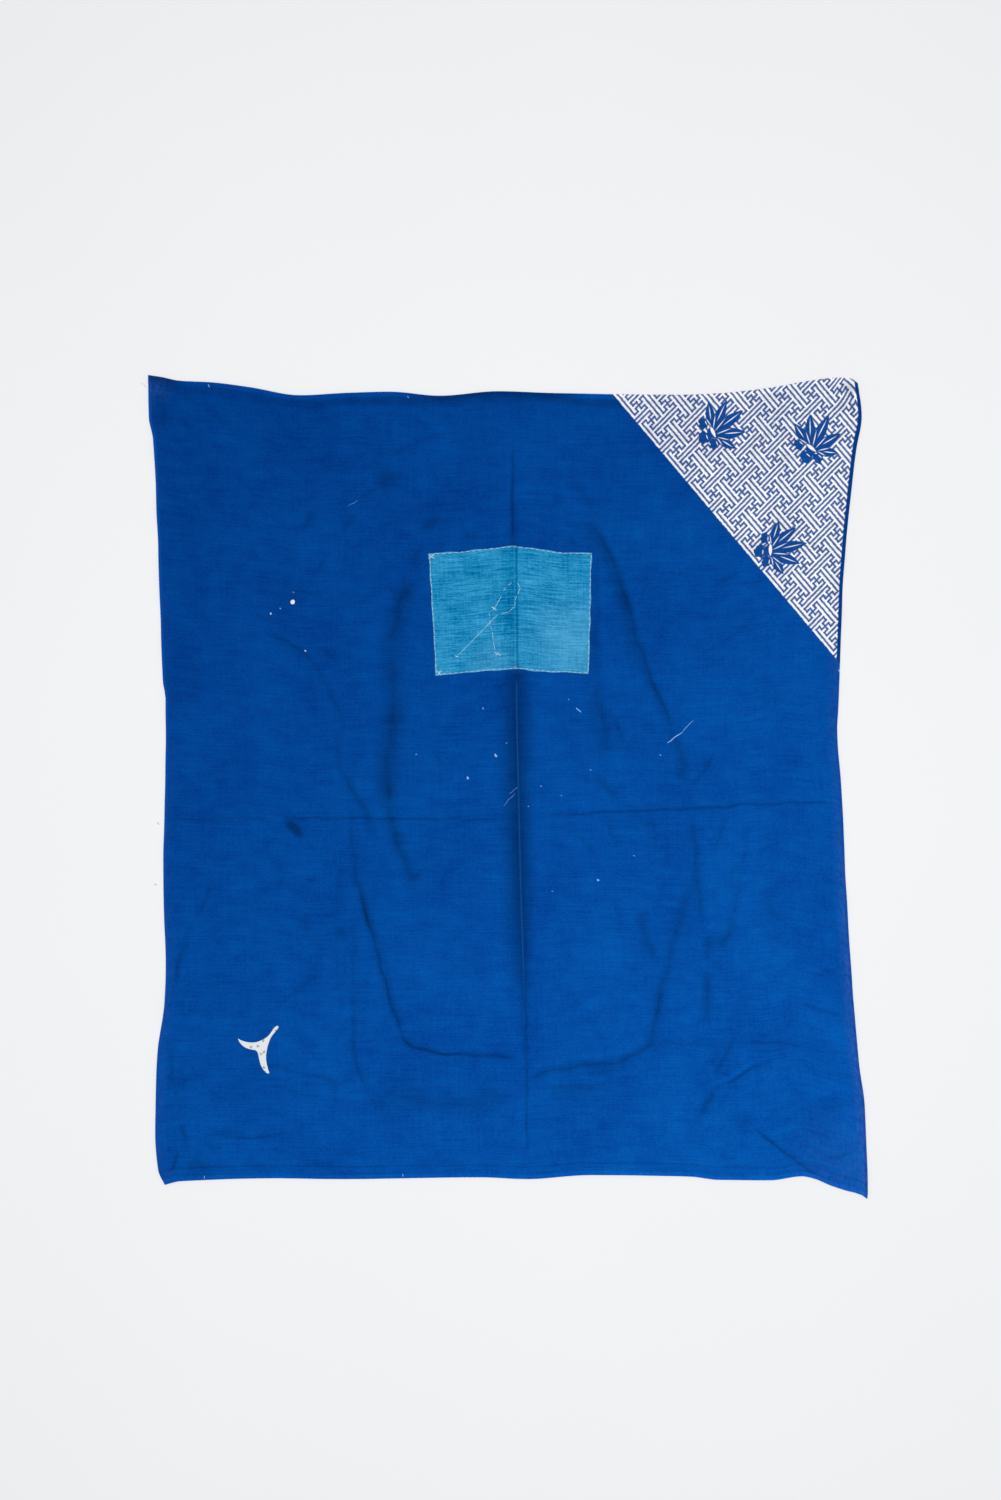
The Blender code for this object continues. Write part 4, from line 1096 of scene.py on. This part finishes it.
# the crisp painted shade line along each crease
off_crease = add(dye, "SeparateXYZ", add(dye, "UVMap", uv_map="creases"))
crease = off_crease.node.outputs[1]
off_crease = add(dye, "Math ABSOLUTE", off_crease)
off_crease = add(dye, "MapRange", off_crease, 0.0, CREASE_LINE, 1.0, 0.0)
off_crease = add(dye, "Math POWER", off_crease, 1.3)
dark = add(dye, "Math MULTIPLY_ADD", off_crease, crease, dark)
dark = add(dye, "Math SUBTRACT", 1.0, dark)
colour = add(dye, "VectorMath SCALE", colour, dark)

# A painted highlight runs along the crest of the ridge below the patch, and an old drip has left
# one dark mark, longer than it is wide
DRIP_PLACE = (-213.8, -41.2, 0.0)
DRIP_TURN = 0.75
DRIP_NARROWER = 0.46
# painted highlight along the ridge's crest
crest = add(dye, "MapRange", off_line(dye, cut_x, RIDGE_ACROSS), 0.3, 1.1, 1.0, 0.0)
crest = ramped(dye, crest, grain, 0.35, 0.6, 0.14, 0.36)
place_y = add(dye, "SeparateXYZ", place, output=1)
crest = ramped(dye, crest, place_y, 100.0, 108.0, 1.0, 0.0)
crest = ramped(dye, crest, place_y, -230.0, -160.0)
colour = add(dye, "Mix", crest, colour, linear("#2A74C8"), data_type="RGBA")
drip = add(dye, "VectorMath SUBTRACT", flat_place, DRIP_PLACE)
drip = add(dye, "VectorRotate", drip, None, DRIP_TURN, rotation_type="Z_AXIS")
drip = add(dye, "VectorMath MULTIPLY", drip, (DRIP_NARROWER, 1.0, 0.0))
drip = add(dye, "VectorMath LENGTH", drip)
drip = add(dye, "Math MULTIPLY_ADD", grain, 5.0, drip)
drip = add(dye, "MapRange", drip, 5.4, 9.2, 0.5, 1.0)
give(shader["Base Color"], add(dye, "VectorMath SCALE", colour, drip))

# The slubs stand a little proud, and the weave less. Its threads are drawn 0.9 mm apart, twice
# the real pitch, so that they show.
THREAD_PITCH = 0.9


def weave(tree, cut_place, height, relief):
    """The relief with crossing threads of a plain weave added."""
    for run in cut_place:
        thread = add(tree, "Math MULTIPLY", run, 2 * math.pi / THREAD_PITCH)
        thread = add(tree, "Math SINE", thread)
        relief = add(tree, "Math MULTIPLY_ADD", thread, height, relief)
    return relief


relief = weave(dye, (cut_x, cut_y), 0.05, tone)
give(shader["Normal"], add(dye, "Bump", 0.5, 0.0006, None, relief))
cloth.data.materials.clear()
cloth.data.materials.append(blue_cotton)
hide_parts("furoshiki_cloth")
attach(cloth, "root")

# The backing piece is a scrap of thin white cotton with a small grey print, sewn behind the tear
# so that it shows through it. It lies between the cloth and the table.
BACKING_THICKNESS = 0.35
BACKING_CELLS = (32, 36)
BACKING_GAP = 0.15
BACKING_HIGHEST = 3.0
BACKING_WANDER = 0.6

side_x, side_y = (
    np.linspace(-0.5, 0.5, BACKING_CELLS[i] + 1) * BACKING_SIZE[i] + BACKING_CENTRE[i]
    for i in (0, 1)
)
back_x, back_y = np.meshgrid(side_x, side_y, indexing="ij")
back_x = back_x + BACKING_WANDER * random_waves(back_x, back_y, (25, 60), 21)
back_y = back_y + BACKING_WANDER * random_waves(back_x, back_y, (25, 60), 22)
back_top = underside(back_x, back_y) - BACKING_GAP
back_top = np.clip(back_top, BACKING_THICKNESS + 0.05, BACKING_HIGHEST)


def closed_sheet(name, x, y, top, low):
    """A sheet with two faces over one grid of points, closed by a wall round its rim."""
    upper = np.arange(top.size).reshape(top.shape)
    faces = quads(upper).tolist() + quads(upper + top.size)[:, ::-1].tolist()
    rim = rim_of(upper)
    for a, b in zip(rim, rim[1:] + rim[:1]):
        faces.append([a + top.size, b + top.size, b, a])
    return add_piece(name, np.concatenate([rows_of(x, y, top), rows_of(x, y, low)]), faces)


backing = closed_sheet("backing_piece", back_x, back_y, back_top, back_top - BACKING_THICKNESS)

# Plain-woven white cotton: matt, off-white, with a sparse small grey print
white_cotton, shader = new_material("printed_white_cotton", 0.9, 0.2)
scrap = white_cotton.node_tree
place = add(scrap, "VectorMath MULTIPLY", add(scrap, "TexCoord", output=3), (1 / MM, 1 / MM, 0.0))
bits = add(scrap, "TexVoronoi", place, 0.11, voronoi_dimensions="2D")
jitter = add(scrap, "TexNoise", place, 0.6, 2.0, noise_dimensions="2D")
bits = add(scrap, "Math MULTIPLY_ADD", jitter, 0.3, bits)
bits = add(scrap, "MapRange", bits, 0.25, 0.33, 0.8, 0.0)
colour = add(scrap, "Mix", bits, linear("#E1E4E3"), linear("#8E9091"), data_type="RGBA")
give(shader["Base Color"], colour)
relief = add(scrap, "TexNoise", place, 1.1, 2.0, noise_dimensions="2D")
give(shader["Normal"], add(scrap, "Bump", 0.4, 0.0004, None, relief))
backing.data.materials.append(white_cotton)
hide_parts("tear_backing")
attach(backing, "root")

# The patch is a piece of paler blue cotton with its four edges turned under, laid over the face
# and held by running stitches. It follows the cloth over the ridge.
PATCH_GAP = 0.3
PATCH_CLOTH = 0.35
PATCH_TURNED = 7.0
TURNED_RISE = 0.45
TURNED_STEP = 1.5
EDGE_ROUND = 0.8
STITCH_PITCH = 5.8
STITCH_INSET = 0.9
STITCH_SINK = 0.25
STITCH_REACH = 1.2
PATCH_THINNEST = 0.15
PATCH_WAVES = 0.1
EDGE_WANDER = 0.5
EDGE_WANDER_REACH = 6.0


def patch_lines(start, end, middle):
    """Grid lines over the patch: close at its edges and at a line in its middle."""
    near = [0.0, 0.3, 0.8, 1.6, 2.6, 3.8]
    lines = {start + d for d in near} | {end - d for d in near}
    lines |= {middle + d for d in (-2.4, -1.2, 0.0, 1.2, 2.4)}
    lines |= set(np.arange(start + 5.2, end - 4.4, 1.35).tolist())
    kept = []
    for value in sorted(lines):
        if not kept or value - kept[-1] > 0.25:
            kept.append(value)
    kept[-1] = end
    return kept


patch_across, patch_along = np.meshgrid(
    patch_lines(*PATCH_ACROSS, RIDGE_ACROSS),
    patch_lines(*PATCH_ALONG, sum(PATCH_ALONG) / 2),
    indexing="ij",
)
edge_across = np.minimum(patch_across - PATCH_ACROSS[0], PATCH_ACROSS[1] - patch_across)
edge_along = np.minimum(patch_along - PATCH_ALONG[0], PATCH_ALONG[1] - patch_along)
from_edge = np.minimum(edge_across, edge_along)
patch_x, patch_y, patch_low = face(patch_across, patch_along)
patch_low = patch_low + PATCH_GAP
turned = TURNED_RISE * smooth_step((PATCH_TURNED - from_edge) / TURNED_STEP)
rounded = np.sqrt(1.0 - (1.0 - np.clip(from_edge / EDGE_ROUND, 0.0, 1.0)) ** 2)
run = np.where(edge_across < edge_along, patch_along, patch_across)
held = np.exp(-(((from_edge - STITCH_INSET) / STITCH_REACH) ** 2))
held = held * (0.5 + 0.5 * np.cos(run * 2 * math.pi / STITCH_PITCH))
patch_body = PATCH_CLOTH + turned * rounded - STITCH_SINK * held
patch_body = patch_body + PATCH_WAVES * random_waves(patch_x, patch_y, (9, 15, 23), 31)
patch_top = patch_low + np.maximum(patch_body, PATCH_THINNEST) * (0.4 + 0.6 * rounded)
wander = smooth_step(1.0 - from_edge / EDGE_WANDER_REACH)
wander = EDGE_WANDER * random_waves(patch_x, patch_y, (19, 31), 32) * wander
patch = closed_sheet("sewn_on_patch", patch_x + wander, patch_y + wander, patch_top, patch_low)
patch_places = np.concatenate([rows_of(patch_across, patch_along)] * 2)
add_map(patch, "cut_cloth", at_corners(patch, patch_places))

# Paler plain cotton, mottled where the dye took unevenly, with thick weft slubs. Shade is painted
# beside the ridge and along the ridge's crest; it is faded at two places, and rubbed pale along its
# edges.
PALE_SLUBS = [
    (26.0, 1.4, 0.0, 0.84), (1.6, 30.0, 3.7, 0.28), (34.0, 26.0, 9.1, 0.4),
    (11.0, 8.0, 5.3, 0.22), (3.6, 1.2, 1.9, 0.5),
]
FADED_PLACES = [(424.0, 545.0, 0.0, 70.0, 0.34), (335.0, 524.0, 0.0, 36.0, 0.24)]
pale_cotton, shader = new_material("mottled_pale_cotton", 0.9, 0.06)
dye = pale_cotton.node_tree
on_cut = add(dye, "UVMap", uv_map="cut_cloth")
cut_x = add(dye, "SeparateXYZ", on_cut)
cut_y = cut_x.node.outputs[1]
tone = slubs(dye, on_cut, 3.0, PALE_SLUBS)
# painted shade: a band left of the ridge, and a line along its crest
left_of = add(dye, "Math SUBTRACT", RIDGE_ACROSS, cut_x)
beside = add(dye, "MapRange", left_of, 7.0, 17.0, 0.15, 0.0)
is_left = add(dye, "Math GREATER_THAN", left_of, 1.6)
beside = add(dye, "Math MULTIPLY", beside, is_left)
crest = add(dye, "MapRange", off_line(dye, left_of, -1.2), 0.6, 2.0, 0.26, 0.0)
shade = add(dye, "Math SUBTRACT", tone, beside)
shade = add(dye, "Math SUBTRACT", shade, crest)
shade = add(dye, "Math MULTIPLY_ADD", shade, 4.4, -3.91)
colour = add(
    dye, "Mix", shade, linear("#087BAE"), linear("#2F92C3"), data_type="RGBA",
    clamp_factor=False, clamp_result=True,
)
faded = spots(dye, on_cut, FADED_PLACES, 0.0, interpolation_type="SMOOTHSTEP")
faded = add(dye, "Math MULTIPLY", faded, tone)
colour = add(dye, "Mix", faded, colour, linear("#63B6DE"), data_type="RGBA")
to_edge = []
for run, (start, end) in ((cut_x, PATCH_ACROSS), (cut_y, PATCH_ALONG)):
    off_middle = off_line(dye, run, (start + end) / 2)
    to_edge.append(add(dye, "Math SUBTRACT", (end - start) / 2, off_middle))
rim = add(dye, "Math MINIMUM", *to_edge)
rim = add(dye, "MapRange", rim, 0.4, 1.5, 0.5, 0.0)
colour = add(dye, "Mix", rim, colour, linear("#8CCBE2"), data_type="RGBA")
give(shader["Base Color"], colour)
relief = weave(dye, (cut_x, cut_y), 0.12, tone)
give(shader["Normal"], add(dye, "Bump", 0.5, 0.0004, None, relief))
patch.data.materials.append(pale_cotton)
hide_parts("sewn_patch")
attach(patch, "root")

# Running stitches in off-white cotton thread hold the patch, each one a short bow of thread that
# comes up through the cloth and goes down again. They are about 3 mm long, at a pitch of 5.8 mm.
STITCH_THREAD = 0.5
STITCH_LENGTH = 3.4
STITCH_BOW = 0.3
STITCH_LIFT = 0.3
STITCH_DIP = 0.12
PATCH_LIFT = CLOTH_THICKNESS + PATCH_GAP + PATCH_CLOTH


def tube(points, radii, sides=6):
    """A round thread along points, thinner where its radius is: points and faces."""
    points = np.asarray(points, float)
    radii = np.broadcast_to(radii, len(points))
    ways = np.gradient(points, axis=0)
    ways /= np.linalg.norm(ways, axis=1)[:, None]
    side = np.cross(ways, (0.0, 0.0, 1.0))
    side /= np.maximum(np.linalg.norm(side, axis=1), 1e-6)[:, None]
    up = np.cross(side, ways)
    turns = (np.arange(sides) * 2 * math.pi / sides)[None, :, None]
    ring = np.cos(turns) * side[:, None, :] + np.sin(turns) * up[:, None, :]
    skin = (points[:, None, :] + radii[:, None, None] * ring).reshape(-1, 3)
    faces = [list(range(sides))[::-1]]
    for i in range(len(points) - 1):
        for k in range(sides):
            a, b = i * sides + k, i * sides + (k + 1) % sides
            faces.append([a, b, b + sides, a + sides])
    faces.append([(len(points) - 1) * sides + k for k in range(sides)])
    return skin, faces


def threads(name, runs):
    """One piece from many runs of thread, each with its points and radius."""
    points, faces = [], []
    for path, radii in runs:
        skin, skin_faces = tube(path, radii)
        faces += [[len(points) + k for k in face] for face in skin_faces]
        points += skin.tolist()
    return add_piece(name, points, faces)


def bow(start, end, thickness, lift, bow_height):
    """A stitch from one (x, y) to another, bowing up off the face between them."""
    share = np.linspace(0.0, 1.0, 7)
    x = mix(start[0], end[0], share)
    y = mix(start[1], end[1], share)
    rise = bow_height * np.sin(math.pi * share) - STITCH_DIP * (2 * share - 1) ** 4
    z = underside(x, y) + lift + thickness / 2 + rise
    radii = thickness / 2 * (0.55 + 0.45 * np.sin(math.pi * share))
    return np.stack([x, y, z], -1), radii


rng = np.random.default_rng(41)
stitches = []
a0, a1 = PATCH_ACROSS[0] + STITCH_INSET, PATCH_ACROSS[1] - STITCH_INSET
b0, b1 = PATCH_ALONG[0] + STITCH_INSET, PATCH_ALONG[1] - STITCH_INSET
for start, end in (
    ((a0, b0), (a1, b0)), ((a1, b0), (a1, b1)), ((a1, b1), (a0, b1)), ((a0, b1), (a0, b0)),
):
    side_length = math.dist(start, end)
    count = round(side_length / STITCH_PITCH)
    for k in range(count):
        middle = (k + 0.5) / count + rng.uniform(-0.05, 0.05) / count
        half = STITCH_LENGTH / side_length / 2 * rng.uniform(0.75, 1.2)
        ends = []
        for share in (middle - half, middle + half):
            inset = rng.uniform(-0.3, 0.3, 2)
            ends.append(laid(*(mix(start[i], end[i], share) + inset[i] for i in (0, 1))))
        stitches.append(bow(*ends, STITCH_THREAD, PATCH_LIFT + STITCH_LIFT, STITCH_BOW))
stitches_piece = threads("patch_stitches", stitches)

# Cotton sewing thread: matt off-white, its two plies twisted, shown as a faint grain
cotton_thread, shader = new_material("off_white_cotton_thread", 0.85, 0.2)
ply = cotton_thread.node_tree
grain = add(ply, "TexNoise", add(ply, "TexCoord", output=3), 1500.0, 2.0)
colour = add(ply, "Mix", grain, linear("#A9D0E4"), linear("#E0EEF0"), data_type="RGBA")
give(shader["Base Color"], colour)
give(shader["Normal"], add(ply, "Bump", 0.5, 0.0002, None, grain))
stitches_piece.data.materials.append(cotton_thread)
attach(stitches_piece, "root")

# A small mend in the patch, sewn by hand in the same cotton thread: long loose stitches slant over
# a thin place and come back, and knots on the face hold their ends. More knots hold the corners.
MEND_STITCHES = [
    ((-51, 130.5), (-37, 144.5)), ((-37.4, 144.1), (-24, 158)),
    ((-24.4, 157.6), (-9.8, 172.4)), ((-12.5, 180), (-6.8, 190.5)), ((-4.5, 195.5), (-2.8, 198.5)),
    ((0.5, 201), (3.5, 204)), ((9, 204), (12, 199)), ((12, 198.5), (9.5, 192)),
    ((8.6, 190.5), (7, 186)), ((7, 184.5), (6.6, 181)), ((6.4, 180), (1, 175)),
    ((0.5, 174.6), (-6.8, 173.2)), ((-19, 174), (-18.4, 170)), ((-18.2, 167), (-17.8, 162)),
    ((-17.6, 160.5), (-16, 157)), ((-15.6, 155), (-14.9, 147)), ((-14.8, 145.5), (-13, 136.5)),
]
# Each knot: its two ends, and the thickness of its thread
MEND_KNOTS = [
    ((-16.5, 180), (-11.5, 176.5), 1), ((-13.5, 134.5), (-7.5, 131.5), 0.9),
    ((-53, 131), (-49.5, 129.8), 0.8), ((-79.8, 232.4), (-72.5, 227), 0.55),
    ((-79.5, 228), (-71.5, 233.6), 0.45), ((-72, 117.4), (-66.5, 111.4), 0.5),
    ((-70.5, 111.6), (-65.5, 117.6), 0.45),
]
mend = [bow(a, b, 0.42, PATCH_LIFT, 0.3) for a, b in MEND_STITCHES]
for a, b, thickness in MEND_KNOTS:
    mend.append(bow(a, b, thickness, PATCH_LIFT, 0.5))
    mend.append(bow((a[0] + 1.0, b[1]), (b[0] - 1.0, a[1]), thickness / 2, PATCH_LIFT, 0.4))
mend_piece = threads("mending_stitches", mend)
mend_piece.data.materials.append(cotton_thread)
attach(mend_piece, "root")

# One short stitch of thick, matt coral cotton is left at the foot of the patch from an earlier
# mend. It goes through the patch and the cloth.
coral_piece = threads("coral_stitch", [bow((5.4, 119.8), (7.5, 118.0), 1.3, PATCH_LIFT, 0.4)])
coral_cotton, shader = new_material("coral_cotton_thread", 0.85, 0.2)
give(shader["Base Color"], linear("#D98C86"))
coral_piece.data.materials.append(coral_cotton)
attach(coral_piece, "root")

# Broken threads, lint and frayed ends lie on the cloth and stand out at its edges. They are pale
# cotton that has taken up some of the blue.
SPECKS = [
    ((-228.5, 179), (-226.9, 178), 0.4), ((-215.5, 195.3), (-213.5, 193.9), 0.2),
    ((-91.8, 33.2), (-91, 32.2), 0.9), ((-41, 10.4), (-39.6, 8.2), 1.2),
    ((-25.6, 79), (-24.8, 78), 0.7), ((-13, 33), (-11, 29.6), 1.1),
    ((-2, 44.4), (-1, 43.6), 0.4), ((67.8, 79.4), (72.6, 74.6), 0.5),
    ((60.2, 87.6), (61.2, 87), 0.4), ((32.4, 1.4), (33.6, 0.6), 0.4),
    ((19.8, -18.6), (20.8, -19.4), 0.4), ((52.8, -8.2), (54, -9), 0.4),
    ((82, 17.4), (83.4, 16.6), 0.4), ((88.2, -92.2), (91.2, -93), 1.1),
    ((125, -68), (126.2, -69), 0.3), ((43.6, -103.4), (44.8, -104.4), 0.3),
    ((151.6, 32.4), (152.6, 31.4), 0.4), ((159, 44), (174, 55), 0.5),
    ((174, 55), (185, 67), 0.25), ((-160, 281), (-150, 286), 0.12),
    ((10.6, 1), (1.4, -6.4), 0.13), ((7, -5.6), (-4.4, -18.8), 0.13),
    ((-303.5, -388), (-303.5, -392), 0.5), ((-105, -386), (-105, -390), 0.5),
    ((-350, -35), (-349, -37.5), 0.4), ((-353, -97), (-351.5, -98), 0.4),
    ((-299.7, 402.7), (-298.4, 398.8), 0.5), ((-100.7, 391.1), (-98.9, 388.9), 0.5),
    ((330.5, 118), (331.5, 114), 0.5), ((352.8, -316.5), (353.8, -319.5), 0.6),
    ((-361.5, 399.5), (-367, 404.5), 0.1),
]
LINT_WANDER = 0.4
rng = np.random.default_rng(51)
lint = []
for start, end, radius in SPECKS:
    share = np.linspace(0.0, 1.0, 5)
    wander = rng.uniform(-LINT_WANDER, LINT_WANDER, (2, 5))
    x = mix(start[0], end[0], share) + wander[0]
    y = mix(start[1], end[1], share) + wander[1]
    z = underside(x, y) + CLOTH_THICKNESS + radius * 0.5
    lint.append((np.stack([x, y, z], -1), radius * np.array([0.5, 1.0, 0.9, 1.0, 0.4])))
lint_piece = threads("loose_threads", lint)
lint_cotton, shader = new_material("blue_stained_lint", 0.9, 0.1)
give(shader["Base Color"], linear("#94C0F6"))
lint_piece.data.materials.append(lint_cotton)
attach(lint_piece, "root")

# The table is a wide sheet of white card, under one large soft light a little to the lower right
# and an even pale room
FLOOR_HALF = 3000.0
FLOOR_HEIGHT = -0.3
floor = add_piece(
    "floor",
    [
        (FLOOR_HALF * x, FLOOR_HALF * y, FLOOR_HEIGHT)
        for x, y in ((-1, -1), (1, -1), (1, 1), (-1, 1))
    ],
    [[0, 1, 2, 3]],
)
card, shader = new_material("white_card", 0.95, 0.1)
pulp = card.node_tree
pulp_grain = add(pulp, "TexNoise", add(pulp, "TexCoord", output=3), 4.0, 3.0)
colour = add(pulp, "Mix", pulp_grain, linear("#EFF0F1"), linear("#F1F2F3"), data_type="RGBA")
give(shader["Base Color"], colour)
floor.data.materials.append(card)

room = bpy.data.worlds.new("pale_room")
room.use_nodes = True
bpy.context.scene.world = room
room_light = room.node_tree.nodes["Background"]
room_light.inputs["Color"].default_value = linear("#FAFBFF")
room_light.inputs["Strength"].default_value = 0.30

softbox = bpy.data.lights.new("softbox", "AREA")
softbox.shape = "RECTANGLE"
softbox.size = 1.5
softbox.size_y = 1.5
softbox.energy = 102.0
softbox_stand = bpy.data.objects.new("softbox", softbox)
softbox_stand.location = (0.10, -0.03, 3.6)
softbox_stand.rotation_euler = softbox_stand.location.to_track_quat("Z", "Y").to_euler()
bpy.context.scene.collection.objects.link(softbox_stand)

# The photograph looks straight down at the cloth through a 50 mm lens, with its long side upright
CAMERA_PLACE = (-0.0075, 0.037)
FRAME_LENGTH = 1.5
camera_data = bpy.data.cameras.new("camera")
camera_data.lens = 50.0
camera_data.sensor_width = 36.0
camera_data.dof.use_dof = False
camera = bpy.data.objects.new("camera", camera_data)
camera.location = (*CAMERA_PLACE, FRAME_LENGTH * camera_data.lens / camera_data.sensor_width)
bpy.context.scene.collection.objects.link(camera)
bpy.context.scene.camera = camera
bpy.context.scene.view_settings.view_transform = "Standard"
